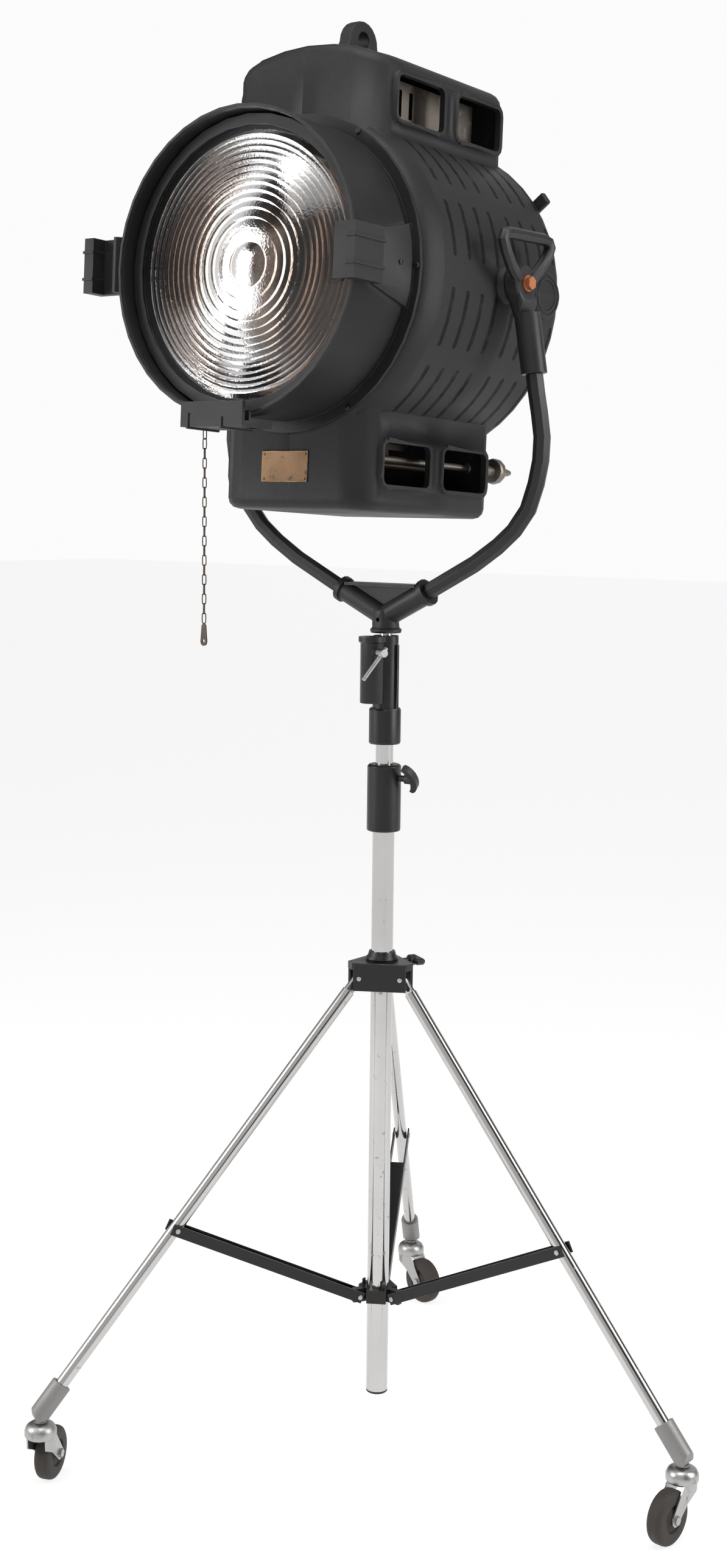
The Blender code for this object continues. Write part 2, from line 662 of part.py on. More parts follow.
# ---------------------------------------------------------------- stand
def receiver():
    """The stand's top casting: riser socket, spigot socket and a second, empty one."""
    low, middle, top = RECEIVER_Z
    base = turned([(0, low), (0.0305, low), (0.0320, low + 0.003), (0.0320, middle - 0.003),
                   (0.0300, middle + 0.001), (0.0, middle + 0.001)], 18)
    barrel = rod(0.0255, middle - 0.010, top, 18, 0.001)
    offset = turned([(0, 1.5035), (0.0225, 1.5035), (0.0235, 1.5055), (0.0235, 1.6225),
                     (0.0273, 1.6255), (0.0273, top - 0.0005), (0, top - 0.0005)], 18)
    moved(offset, shift(0, FREE_SOCKET_Y, 0))
    rib = block((0.0200, 0.0310), (-0.0030, 0.0030), (1.4700, 1.6180))
    angle = radians(-28)
    boss = between((0.018 * cos(angle), FREE_SOCKET_Y + 0.018 * sin(angle), 1.606),
                   (0.030 * cos(angle), FREE_SOCKET_Y + 0.030 * sin(angle), 1.606), 0.0105, 14)
    body = union(base, barrel, offset, rib, boss)
    riser_bore = rod(RISER_R + GAP, low - 0.01, 1.4920, 18)
    spigot_bore = rod(SPIGOT_BORE_R, 1.5250, top + 0.01, BORE_SIDES)
    free_bore = rod(SPIGOT_BORE_R, 1.4900, top + 0.01, BORE_SIDES)
    moved(free_bore, shift(0, FREE_SOCKET_Y, 0))
    return cut(body, riser_bore, spigot_bore, free_bore)


def receiver_handle():
    """The clamp screw with its sliding tommy bar, drawn with the screw along +X."""
    hub = moved(rod(0.0085, 0.0303, 0.0560, 12, 0.001), TURN_X)
    slope = radians(51.6)
    down = Vector((0, -cos(slope), -sin(slope)))
    start = Vector((0.0475, 0, 0)) - down * 0.013
    bar = between(start, start + down * 0.079, 0.0042, 10)
    return union(hub, bar)


def wing_knob(stem, wing_angle, length):
    """A screw with a crescent wing, drawn with the screw along +X."""
    post = moved(rod(0.0065, stem[0], stem[1], 12), TURN_X)
    outer = arc(0.0, 0.0, length / 2, 12, 168, 8)
    inner = arc(0.0, -length * 0.36, length * 0.53, 145, 35, 6)
    crescent = prism([(x, y * 0.62) for x, y in outer + inner], -0.0075, 0.0075)
    stand_up = Matrix(((0, 1, 0, 0), (0, 0, 1, 0), (1, 0, 0, 0), (0, 0, 0, 1)))
    moved(crescent, stand_up, shift(stem[1] - 0.006, 0, 0))
    hub = moved(rod(0.0105, stem[1] - 0.010, stem[1] + 0.004, 12), TURN_X)
    return moved(union(post, hub, crescent), Matrix.Rotation(wing_angle, 4, "X"))


def crown_knob():
    """The crown's T knob, drawn with the screw along +X."""
    stem = moved(rod(0.0060, 0.0455, 0.0700, 12), TURN_X)
    hub = moved(rod(0.0110, 0.0590, 0.0720, 12), TURN_X)
    wing = block((0.0640, 0.0860), (-0.0260, 0.0260), (-0.0065, 0.0065), 0.004)
    return union(stem, hub, wing)


def truncated_triangle(flat, corner):
    """An outline with long sides between the legs and short ones across them."""
    points = []
    for azimuth in LEG_AZIMUTHS:
        centre = radians(azimuth)
        half = (flat - corner * 0.5) / 0.8660254
        for side in (-1, 1):
            points.append((corner * cos(centre) - side * half * sin(centre),
                           corner * sin(centre) + side * half * cos(centre)))
    return points


def leg_crown():
    """The pressed crown: lid, three side plates and the sleeve on the post."""
    lid = prism(truncated_triangle(0.0440, 0.0700), 0.9660, 0.9800)
    sleeve = turned([(0, 0.9260), (0.0275, 0.9260), (0.0275, 0.9760), (0.0340, 0.9835),
                     (0.0285, 0.9900), (0.0265, 0.9980), (0, 0.9980)], 18)
    plates = []
    for azimuth in LEG_AZIMUTHS:
        plate = block((0.0395, 0.0450), (-0.0530, 0.0530), (0.9230, 0.9790))
        plates.append(moved(plate, Matrix.Rotation(radians(azimuth + 60), 4, "Z")))
    body = union(lid, sleeve, *plates)
    return cut(body, rod(POST_R + GAP, 0.9, 1.01, 18))


def spreader_collar():
    """The lower collar: ring, lugs for the braces, face plates and two tabs."""
    low, high = 0.2740, 0.3020
    ring = rod(0.0300, low + 0.0010, high - 0.0010, 18)
    forms = []
    for azimuth in LEG_AZIMUTHS:
        turn = Matrix.Rotation(radians(azimuth), 4, "Z")
        between_legs = Matrix.Rotation(radians(azimuth + 60), 4, "Z")
        forms.append(moved(block((0.0200, 0.0560), (-0.0060, 0.0060), (low, high)), turn))
        face_plate = block((0.0250, 0.0345), (-0.0200, 0.0200), (low + 0.0005, high - 0.0005))
        tab = block((0.0240, 0.0270), (0.010, 0.018), (high - 0.002, high + 0.012))
        forms += [moved(face_plate, between_legs), moved(tab, between_legs)]
    body = union(ring, *forms)
    return cut(body, rod(POST_R + GAP, 0.25, 0.33, 18))


def leg_tube():
    """One leg, from its flat tongue in the crown to its end in the socket."""
    tongue = block((-0.0110, 0.0110), (-0.0050, 0.0050), (-0.050, 0.008), 0.003)
    body = rod(LEG_R, -(LEG_LENGTH - 0.030), -0.0350, 16)
    return moved(union(body, tongue), Matrix.Rotation(-LEG_SPREAD, 4, "Y"))


def leg_socket():
    """The cast foot on a leg, cut flat below and outside, with the caster's stem."""
    mouth, foot = -(LEG_LENGTH - 0.066), -(LEG_LENGTH + 0.030)
    body = moved(rod(0.0200, foot, mouth, 20, 0.001), Matrix.Rotation(-LEG_SPREAD, 4, "Y"))
    run, drop = STEM_POINT[0] - CROWN_PIVOT[0], CROWN_PIVOT[1] - STEM_POINT[1]
    below = block((run - 0.1, run + 0.1), (-0.05, 0.05), (-drop - 0.1, -drop - 0.0105))
    outside = moved(block((0.0135, 0.1), (-0.05, 0.05), (-0.1, 0.1)),
                    Matrix.Rotation(radians(12), 4, "Y"), shift(run, 0, -drop))
    bore = moved(rod(LEG_R + GAP, -(LEG_LENGTH - 0.0295), -0.9, 20), Matrix.Rotation(-LEG_SPREAD, 4, "Y"))
    stem = moved(turned([(0, 0.1323), (0.0125, 0.1323), (0.0125, 0.1355), (0.0080, 0.1360),
                         (0.0080, 0.1500), (0, 0.1500)], 14),
                 shift(run, 0, -CROWN_PIVOT[1]))
    return cut(union(cut(body, below, outside), stem), bore)


def caster_fork():
    """The domed swivel head, two cheeks and the axle; it trails along +X."""
    dome = turned([(0, CASTER_TOP - 0.004), (0.0125, CASTER_TOP - 0.0005), (0.0200, CASTER_TOP - 0.0015),
                   (0.0270, CASTER_TOP - 0.0060), (0.0310, CASTER_TOP - 0.0140),
                   (0.0310, CASTER_TOP - 0.0250), (0.0285, CASTER_TOP - 0.0280),
                   (0, CASTER_TOP - 0.0280)], 18)
    outline = [(-0.0205, 0.1060), (-0.0190, 0.0840), (0.0100, 0.0690)]
    outline += arc(CASTER_TRAIL, WHEEL_R, 0.0130, 205, 385, 4)
    outline += [(0.0230, 0.1060)]
    cheeks = [standing_xz(prism(outline, low, low + 0.0030)) for low in (0.0176, -0.0206)]
    axle = moved(rod(0.0050, -0.0250, 0.0250, 12), TURN_Y, shift(CASTER_TRAIL, 0, WHEEL_R))
    nuts = [moved(rod(0.0085, low, low + 0.0050, 6), TURN_Y, shift(CASTER_TRAIL, 0, WHEEL_R))
            for low in (-0.0252, 0.0202)]
    return union(dome, *cheeks, axle, *nuts)


def wheel():
    """A rubber-tyred wheel with its hub, turned about the axle."""
    half = WHEEL_WIDTH / 2
    side = [(0.0054, half), (0.0200, half - 0.0030), (0.0260, half), (0.0430, half),
            (0.0485, half - 0.0035), (WHEEL_R, half - 0.0085)]
    profile = [(radius, -height) for radius, height in side] + side[::-1]
    return moved(turned(profile, 24), TURN_Y)


def brace():
    """A pressed channel between the lower collar and a leg, open at both ends."""
    half_height = 0.0110
    strips = [block((-0.0070, BRACE_LENGTH + 0.0120), y, (-half_height, half_height))
              for y in ((0.0145, 0.0175), (-0.0175, -0.0145))]
    web = block((0.0240, 0.3550), (-0.0160, 0.0160), (-half_height + 0.0002, -half_height + 0.0030))
    return moved(union(strips[0], web, strips[1]), Matrix.Rotation(-BRACE_RISE, 4, "Y"))


# ---------------------------------------------------------------- assembly
def build_head(yoke_pan):
    """The lamp head in a frame on its tilt axis, nosed up a little."""
    tilt = empty("tilt_axis", yoke_pan, (0, TILT_AXIS[0], TILT_AXIS[1]), (-HEAD_TILT, 0, 0))
    for name, half in housing():
        piece(name, half, "black_paint", tilt)
    piece("lens_barrel", lens_barrel(), "black_paint", tilt)
    piece("fresnel_lens", fresnel_lens(), "glass", tilt)
    piece("lens_ring", lens_ring(), "black_paint", tilt)
    piece("bracket_right", bracket((-0.048, 0.048), (-0.022, 0.024)), "black_paint", tilt)
    piece("bracket_left", left_bracket(), "black_paint", tilt)
    piece("bracket_bottom", bottom_bracket(), "black_paint", tilt)
    piece("lifting_eye", lifting_eye(), "black_paint", tilt)
    piece("name_plate", block((-0.0635, 0.0460), (-0.2470, -0.2454), (-0.3810, -0.3235)), "bronze", tilt)
    piece("medallion", medallion(), "black_paint", tilt)
    piece("reflector", reflector(), "mirror_metal", tilt)
    piece("lamp_globe", lamp_globe(), "glass", tilt)
    piece("lamp_carriage", lamp_carriage(), "dull_steel", tilt)
    piece("focus_screw", focus_screw(), "dull_steel", tilt, (FOCUS_X, 0, FOCUS_Z))
    for name, x in (("guide_rail_left", -0.100), ("guide_rail_right", 0.070)):
        rail = moved(rod(0.0060, BOX_Y[0] + WALL + GAP, BOX_Y[1] - WALL - GAP, 12), TURN_Y)
        piece(name, rail, "dull_steel", tilt, (x, 0, RAIL_Z))
    piece("vent_baffle", vent_baffle(), "dull_steel", tilt)
    gland = turned([(0, BOX_Y[1] + GAP), (0.0160, BOX_Y[1] + GAP), (0.0160, 0.1700), (0.0110, 0.1730),
                    (0.0095, 0.1900), (0.0060, 0.1900), (0.0060, 0.1700), (0, 0.1700)], 16)
    piece("cable_gland", moved(gland, TURN_Y), "rubber", tilt, (-0.100, 0, -0.365))
    for name, bolt in (("tilt_bolt_right", tilt_bolt()), ("tilt_bolt_left", mirrored(tilt_bolt()))):
        piece(name, bolt, "copper_steel", tilt)

    hinge = empty("door_hinge", tilt, (-0.3210, 0.1965, 0))
    door = moved(rear_door(), shift(0.3210, -0.1965, 0))
    piece("rear_door", door, "black_paint", hinge)
    turn = radians(38)
    pivot = (0.3210 + 0.276 * cos(turn), 0.0008, 0.276 * sin(turn))
    latch = block((-0.0140, 0.0480), (0.0, 0.0130), (-0.0130, 0.0130), 0.003)
    moved(latch, Matrix.Rotation(-turn, 4, "Y"))
    piece("door_latch", latch, "black_paint", hinge, pivot)
    build_chain(tilt)


def bottom_bracket():
    """The channel below the lens end, with a square opening through its bar."""
    bar = moved(bracket((-0.085, 0.060), (-0.067, 0.012)), Matrix.Rotation(pi / 2, 4, "Y"))
    opening = block((0.029, 0.055), (-0.4200, -0.3850), (-0.32, -0.27))
    return cut(bar, opening)


def vent_baffle():
    """The pierced plate inside the upper box."""
    plate = block((0.1200, 0.1225), (-0.1700, 0.1300), (0.2900, 0.3700))
    slots = [block((0.1, 0.14), (y, y + 0.012), (0.3050, 0.3550)) for y in (-0.150, -0.115, -0.080)]
    return cut(plate, joined(slots))


def build_chain(tilt):
    """The safety chain hangs plumb from the lower bracket, with its snap hook."""
    hang = empty("chain_pivot", tilt, CHAIN_TOP, (HEAD_TILT, 0, 0))
    links = block((-0.0040, 0.0040), (-0.0040, 0.0040), (-CHAIN_LENGTH, 0.0), 0.001)
    piece("safety_chain", links, "dull_steel", hang)
    outline = [(0.0045 * cos(radians(a)), -0.005 + 0.0045 * sin(radians(a))) for a in range(10, 180, 32)]
    outline += [(0.0070 * cos(radians(a)), -0.033 + 0.0080 * sin(radians(a))) for a in range(180, 361, 30)]
    hook = standing_xz(prism(outline, -0.0020, 0.0020))
    eye = moved(rod(0.0035, -0.01, 0.01, 10), TURN_Y, shift(0, 0, -0.032))
    piece("snap_hook", cut(hook, eye), "dull_steel", hang, (0, 0, -CHAIN_LENGTH - 0.0008))


def build_yoke(post_axis):
    pan = empty("pan_axis", post_axis, (0, 0, 0))
    piece("yoke_hub", yoke_hub(), "black_paint", pan)
    arm = yoke_arm()
    fitting = tilt_fitting()
    for name, side in (("right", 1), ("left", -1)):
        piece("yoke_arm_" + name, arm.copy() if side > 0 else mirrored(arm), "black_paint", pan)
        piece("tilt_fitting_" + name, fitting.copy() if side > 0 else mirrored(fitting), "black_paint", pan)
    spigot = turned([(0, 1.5300), (0.0130, 1.5300), (SPIGOT_R, 1.5315), (SPIGOT_R, 1.6340),
                     (0.0125, 1.6350), (0.0125, HUB_BOTTOM - GAP), (0, HUB_BOTTOM - GAP)],
                    BORE_SIDES)
    piece("spigot", spigot, "chrome", pan)
    return pan


def build_stand(post_axis):
    post = tube(POST_R, POST_R - POST_WALL, POST_BOTTOM, POST_TOP, 18)
    piece("base_post", post, "chrome", post_axis)
    plug = turned([(0, 0.0780), (0.0205, 0.0780), (POST_R, 0.0795), (POST_R, POST_BOTTOM - GAP),
                   (0.0195, POST_BOTTOM - GAP), (0.0195, 0.1050), (0, 0.1050)], 18)
    piece("post_plug", plug, "rubber", post_axis)
    collar = turned([(POST_R + GAP, COLLAR_Z[0]), (COLLAR_R - 0.002, COLLAR_Z[0]),
                     (COLLAR_R, COLLAR_Z[0] + 0.002),
                     (COLLAR_R, COLLAR_Z[1] - 0.004), (COLLAR_R - 0.004, COLLAR_Z[1]),
                     (RISER_R + GAP, COLLAR_Z[1]), (RISER_R + GAP, POST_TOP + GAP),
                     (POST_R + GAP, POST_TOP + GAP)], 18)
    piece("riser_collar", collar, "powder_coat", post_axis)
    knob = wing_knob((COLLAR_R + GAP, 0.058), radians(40), 0.070)
    piece("collar_knob", knob, "powder_coat", post_axis, (0, 0, 1.351), (0, 0, radians(8)))

    piece("riser_tube", rod(RISER_R, RISER_BOTTOM, 1.4915, 18), "chrome", post_axis)
    piece("receiver", receiver(), "powder_coat", post_axis)
    piece("receiver_handle", receiver_handle(), "zinc", post_axis,
          (0, FREE_SOCKET_Y, 1.606), (0, 0, radians(-28)))

    piece("leg_crown", leg_crown(), "powder_coat", post_axis)
    piece("crown_knob", crown_knob(), "powder_coat", post_axis, (0, 0, 0.9730), (0, 0, radians(60)))
    piece("spreader_collar", spreader_collar(), "powder_coat", post_axis)
    leg, socket, fork, tyre, bar = leg_tube(), leg_socket(), caster_fork(), wheel(), brace()
    for name, azimuth, trail in zip(LEG_NAMES, LEG_AZIMUTHS, CASTER_AZIMUTHS):
        turn = radians(azimuth)
        hinge = empty("leg_hinge_" + name, post_axis,
                      (CROWN_PIVOT[0] * cos(turn), CROWN_PIVOT[0] * sin(turn), CROWN_PIVOT[1]), (0, 0, turn))
        piece("leg_tube_" + name, leg.copy(), "chrome", hinge)
        piece("leg_socket_" + name, socket.copy(), "cast_alloy", hinge)
        run = STEM_POINT[0]
        swivel = empty("swivel_" + name, post_axis, (run * cos(turn), run * sin(turn), 0),
                       (0, 0, radians(trail)))
        piece("caster_fork_" + name, fork.copy(), "zinc", swivel)
        piece("wheel_" + name, tyre.copy(), "rubber", swivel, (CASTER_TRAIL, 0, WHEEL_R))
        pin = empty("brace_pin_" + name, post_axis,
                    (COLLAR_PIVOT[0] * cos(turn), COLLAR_PIVOT[0] * sin(turn), COLLAR_PIVOT[1]), (0, 0, turn))
        piece("brace_" + name, bar.copy(), "powder_coat", pin)


def main():
    clear_scene()
    post_axis = empty("post_axis", None, (POST_X, 0, 0))
    build_stand(post_axis)
    build_head(build_yoke(post_axis))


main()
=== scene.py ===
# %% [markdown]
# # A fresnel spotlight on its rolling stand
# The frame is the working model: every casting, tube and pivot, at its real size and in its
# real place.  This lesson dresses it.  It loads the frame, copies each part into a smooth,
# softly edged mesh, adds the small pieces that a working model leaves out, and gives every
# surface a finish built from nodes.

# %% Load the frame
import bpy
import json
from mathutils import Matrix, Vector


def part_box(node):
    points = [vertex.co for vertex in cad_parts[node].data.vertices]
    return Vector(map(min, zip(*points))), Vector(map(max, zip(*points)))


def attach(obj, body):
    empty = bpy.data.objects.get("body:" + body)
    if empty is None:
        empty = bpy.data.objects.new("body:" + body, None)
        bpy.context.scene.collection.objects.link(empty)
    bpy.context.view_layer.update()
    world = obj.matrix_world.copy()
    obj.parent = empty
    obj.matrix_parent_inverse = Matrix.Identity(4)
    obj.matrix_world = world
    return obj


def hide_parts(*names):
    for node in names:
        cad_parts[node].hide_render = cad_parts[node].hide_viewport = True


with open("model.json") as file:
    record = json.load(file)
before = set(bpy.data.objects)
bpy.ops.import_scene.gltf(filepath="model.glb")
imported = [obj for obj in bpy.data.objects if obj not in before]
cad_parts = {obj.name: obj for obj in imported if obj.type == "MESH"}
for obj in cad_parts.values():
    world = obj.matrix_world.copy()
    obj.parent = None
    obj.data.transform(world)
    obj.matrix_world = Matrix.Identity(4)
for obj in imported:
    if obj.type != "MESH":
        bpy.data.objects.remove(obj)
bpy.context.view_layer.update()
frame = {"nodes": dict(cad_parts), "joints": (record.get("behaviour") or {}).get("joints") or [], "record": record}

import json
import math

import bmesh
import bpy
from mathutils import Matrix, Vector

NODES = frame["nodes"]
JOINTS = {joint["name"]: joint for joint in frame["joints"]}

# %% [markdown]
# ## Where the head sits
# The head is nosed up a little on its tilt axis, so everything on it is easiest to place in
# the head's own frame.  The tilt joint gives that frame its middle, and the lamp carriage's
# slide gives the direction of the optical axis, from which the angle follows.

# %% The head's own frame
along = Vector(JOINTS["focus_travel"]["axis"])
HEAD_TURN = Matrix.Rotation(math.atan2(along.z, along.y), 4, "X")
HEAD = Matrix.Translation(JOINTS["tilt"]["pos_m"]) @ HEAD_TURN
POST_X = JOINTS["pan"]["pos_m"][0]
TO_Y = Matrix.Rotation(-math.pi / 2, 4, "X")      # a turned shape's axis goes to +Y
print("head nosed up by", round(-math.degrees(math.atan2(along.z, along.y)), 2), "degrees")

# %% [markdown]
# ## The camera
# The lamp stands taller than a person and is seen from just above eye height, to its
# right, looking a little down.  A slight shift of the frame keeps both the head and the
# casters in view.

# %% Camera
CAMERA_AZIMUTH = math.radians(36.358)
CAMERA_DISTANCE = 4.043
CAMERA_HEIGHT = 1.911
CAMERA_YAW = math.radians(36.979)
CAMERA_PITCH = math.radians(5.0)
CAMERA_ROLL = math.radians(0.649)
LENS_LENGTH_MM = 46.68
FRAME_SHIFT = -0.070

view = bpy.data.objects.new("camera", bpy.data.cameras.new("camera"))
bpy.context.scene.collection.objects.link(view)
view.data.lens = LENS_LENGTH_MM
view.data.shift_y = FRAME_SHIFT
forward = Vector((-math.sin(CAMERA_YAW) * math.cos(CAMERA_PITCH),
                  math.cos(CAMERA_YAW) * math.cos(CAMERA_PITCH), -math.sin(CAMERA_PITCH)))
level = Vector((math.cos(CAMERA_YAW), math.sin(CAMERA_YAW), 0.0))
upright = level.cross(forward)
right = level * math.cos(CAMERA_ROLL) + upright * math.sin(CAMERA_ROLL)
top = upright * math.cos(CAMERA_ROLL) - level * math.sin(CAMERA_ROLL)
view.matrix_world = Matrix((right, top, -forward)).transposed().to_4x4()
view.location = (POST_X + CAMERA_DISTANCE * math.sin(CAMERA_AZIMUTH),
                 -CAMERA_DISTANCE * math.cos(CAMERA_AZIMUTH), CAMERA_HEIGHT)
bpy.context.scene.camera = view
print("camera at", [round(x, 3) for x in view.location])

# %% [markdown]
# ## The stage
# A black lamp needs a pale room: the floor and the air round it are near white, and the
# shape is drawn by broad, soft lights whose reflections run along its edges.  A large light
# to the left opens the front, one behind to the right rims the barrel, and one overhead
# lights the stand.  What the chrome reflects is a ring of pale panels with dark gaps, which
# the camera itself doesn't see.

# %% Floor, air and lights
def stage_material(name, colour, roughness, glow):
    """A lit floor: part of its brightness is its own, as on a light table."""
    material = bpy.data.materials.new(name)
    material.use_nodes = True
    shader = material.node_tree.nodes["Principled BSDF"]
    shader.inputs["Base Color"].default_value = (*colour, 1)
    shader.inputs["Roughness"].default_value = roughness
    shader.inputs["Emission Color"].default_value = (1, 1, 1, 1)
    shader.inputs["Emission Strength"].default_value = glow
    return material


bm = bmesh.new()
bmesh.ops.create_grid(bm, x_segments=1, y_segments=1, size=40.0)
floor_mesh = bpy.data.meshes.new("floor")
bm.to_mesh(floor_mesh)
bm.free()
floor = bpy.data.objects.new("floor", floor_mesh)
floor.data.materials.append(stage_material("pale_floor", (0.30, 0.30, 0.298), 0.8, 0.78))
bpy.context.scene.collection.objects.link(floor)

world = bpy.data.worlds.new("pale_air")
world.use_nodes = True
air = world.node_tree
pale = air.nodes["Background"]
pale.inputs["Color"].default_value = (0.97, 0.97, 0.97, 1)
pale.inputs["Strength"].default_value = 1.0
studio = air.nodes.new("ShaderNodeBackground")
studio.inputs["Strength"].default_value = 0.62
direction = air.nodes.new("ShaderNodeTexCoord")
around = air.nodes.new("ShaderNodeTexGradient")
around.gradient_type = "RADIAL"
panels = air.nodes.new("ShaderNodeValToRGB")
air.links.new(direction.outputs["Generated"], around.inputs["Vector"])
air.links.new(around.outputs["Fac"], panels.inputs["Fac"])
# Places round the room, as a share of a full turn, and how bright it is there.
PANEL_EDGES = ((0.10, 1.0), (0.12, 0.03), (0.19, 0.03), (0.21, 1.0), (0.36, 1.0), (0.38, 0.05),
               (0.46, 0.05), (0.48, 1.0), (0.62, 1.0), (0.64, 0.04), (0.70, 0.04), (0.72, 1.0),
               (0.86, 1.0), (0.88, 0.04), (0.96, 0.04))
for place, brightness in PANEL_EDGES:
    stop = panels.color_ramp.elements.new(place)
    stop.color = (brightness, brightness, brightness, 1)
for stop in (panels.color_ramp.elements[0], panels.color_ramp.elements[-1]):
    stop.color = (1, 1, 1, 1)
air.links.new(panels.outputs["Color"], studio.inputs["Color"])
ray = air.nodes.new("ShaderNodeLightPath")
choose = air.nodes.new("ShaderNodeMixShader")
air.links.new(ray.outputs["Is Camera Ray"], choose.inputs[0])
air.links.new(studio.outputs[0], choose.inputs[1])
air.links.new(pale.outputs[0], choose.inputs[2])
air.links.new(choose.outputs[0], air.nodes["World Output"].inputs["Surface"])
bpy.context.scene.world = world


def soft_light(name, place, target, size, power):
    light = bpy.data.objects.new(name, bpy.data.lights.new(name, "AREA"))
    light.data.shape = "RECTANGLE"
    light.data.size, light.data.size_y = size
    light.data.energy = power
    light.location = place
    light.rotation_euler = (Vector(target) - Vector(place)).to_track_quat("-Z", "Y").to_euler()
    bpy.context.scene.collection.objects.link(light)


soft_light("left_softbox", (-2.6, -3.0, 2.6), (-0.2, 0.0, 2.0), (1.6, 2.6), 95)
soft_light("right_rim", (2.9, 0.9, 2.6), (-0.1, 0.0, 2.2), (0.9, 2.8), 75)
soft_light("overhead", (0.3, -1.2, 4.6), (-0.1, 0.0, 1.5), (2.6, 2.6), 80)
bpy.context.scene.view_settings.view_transform = "Standard"

# %% [markdown]
# ## Effects that several finishes share
# Real finishes differ in colour but age in the same few ways: a sand-like grain, edges
# rubbed bright, blotches of dust or rust.  Each is a node group, made
# once, that puts out a mask or a normal.  The shader stays in the material, so that a
# constant such as the metal's index stays a plain number on it.

# %% A helper for node groups
def new_group(name, inputs, outputs):
    """A shader node group with float inputs, its input and output nodes in place."""
    group = bpy.data.node_groups.new(name, "ShaderNodeTree")
    for title, value in inputs:
        socket = group.interface.new_socket(title, in_out="INPUT", socket_type="NodeSocketFloat")
        socket.default_value = value
    for title, kind in outputs:
        group.interface.new_socket(title, in_out="OUTPUT", socket_type=kind)
    return group, group.nodes.new("NodeGroupInput"), group.nodes.new("NodeGroupOutput")


def add(tree, kind, **values):
    """A node with its settings, and with its sockets set or linked by name."""
    node = tree.nodes.new(kind)
    for key, value in values.items():
        if hasattr(node, key):
            setattr(node, key, value)
            continue
        socket = node.inputs[int(key[1:])] if key[0] == "i" and key[1:].isdigit() else node.inputs[key]
        if isinstance(value, bpy.types.NodeSocket):
            tree.links.new(value, socket)
        else:
            socket.default_value = value
    return node


def maths(tree, operation, first, second):
    node = tree.nodes.new("ShaderNodeMath")
    node.operation = operation
    node.use_clamp = True
    for socket, value in zip(node.inputs, (first, second)):
        if isinstance(value, bpy.types.NodeSocket):
            tree.links.new(value, socket)
        else:
            socket.default_value = value
    return node.outputs[0]


# %% Grain, worn edges and blotches
def make_grain():
    """Fine pits in a sprayed or cast skin: a bumped normal and a mottle."""
    tree, given, out = new_group("skin_grain", [("Scale", 900.0), ("Depth", 0.3)],
                                 [("Normal", "NodeSocketVector"), ("Mottle", "NodeSocketFloat")])
    place = add(tree, "ShaderNodeTexCoord").outputs["Object"]
    fine = add(tree, "ShaderNodeTexNoise", Vector=place, Scale=given.outputs["Scale"], Detail=2.0)
    broad = add(tree, "ShaderNodeTexNoise", Vector=place, Scale=7.0, Detail=5.0)
    bump = add(tree, "ShaderNodeBump", Strength=given.outputs["Depth"], Distance=0.0006,
               Height=fine.outputs[0])
    tree.links.new(bump.outputs[0], out.inputs["Normal"])
    tree.links.new(broad.outputs[0], out.inputs["Mottle"])
    return tree


def make_edge_wear():
    """White where an outer edge has been rubbed, broken up by noise."""
    tree, given, out = new_group("edge_wear", [("Width", 0.002), ("Amount", 1.0)],
                                 [("Mask", "NodeSocketFloat")])
    place = add(tree, "ShaderNodeTexCoord").outputs["Object"]
    soft = add(tree, "ShaderNodeBevel", Radius=given.outputs["Width"])
    soft.samples = 4
    true = add(tree, "ShaderNodeNewGeometry").outputs["Normal"]
    both = add(tree, "ShaderNodeVectorMath", operation="DOT_PRODUCT", i0=soft.outputs[0], i1=true)
    bend = maths(tree, "SUBTRACT", 1.0, both.outputs["Value"])
    bend = maths(tree, "MULTIPLY", bend, 9.0)
    patchy = add(tree, "ShaderNodeTexNoise", Vector=place, Scale=38.0, Detail=6.0)
    patchy = add(tree, "ShaderNodeMapRange", i0=patchy.outputs[0], i1=0.36, i2=0.62)
    worn = maths(tree, "MULTIPLY", bend, patchy.outputs[0])
    tree.links.new(maths(tree, "MULTIPLY", worn, given.outputs["Amount"]), out.inputs["Mask"])
    return tree


def make_blotches():
    """Patches of rust or dust, more of them where Cover is higher."""
    tree, given, out = new_group("blotches", [("Scale", 30.0), ("Cover", 0.4)],
                                 [("Mask", "NodeSocketFloat")])
    place = add(tree, "ShaderNodeTexCoord").outputs["Object"]
    noise = add(tree, "ShaderNodeTexNoise", Vector=place, Scale=given.outputs["Scale"], Detail=8.0,
                Roughness=0.65)
    start = maths(tree, "SUBTRACT", 1.0, given.outputs["Cover"])
    over = maths(tree, "SUBTRACT", noise.outputs[0], start)
    tree.links.new(maths(tree, "MULTIPLY", over, 7.0), out.inputs["Mask"])
    return tree


GRAIN, EDGES, BLOTCHES = make_grain(), make_edge_wear(), make_blotches()
print("node groups:", [group.name for group in bpy.data.node_groups])


# %% [markdown]
# ## The finishes
# One recipe serves them all: a base colour with a slow mottle, blotches of rust or dust,
# bright worn edges, a grain in the normal, and a roughness that follows the same masks.
# What makes cast paint differ from chrome is only the numbers.

# %% One recipe for every finish
def mix(tree, mask, first, second):
    node = add(tree, "ShaderNodeMix", data_type="RGBA")
    for socket, value in ((node.inputs[0], mask), (node.inputs[6], first), (node.inputs[7], second)):
        if isinstance(value, bpy.types.NodeSocket):
            tree.links.new(value, socket)
        else:
            socket.default_value = value if not isinstance(value, tuple) else (*value, 1.0)
    return node.outputs[2]


def grouped(tree, group, **values):
    node = tree.nodes.new("ShaderNodeGroup")
    node.node_tree = group
    for key, value in values.items():
        node.inputs[key].default_value = value
    return node


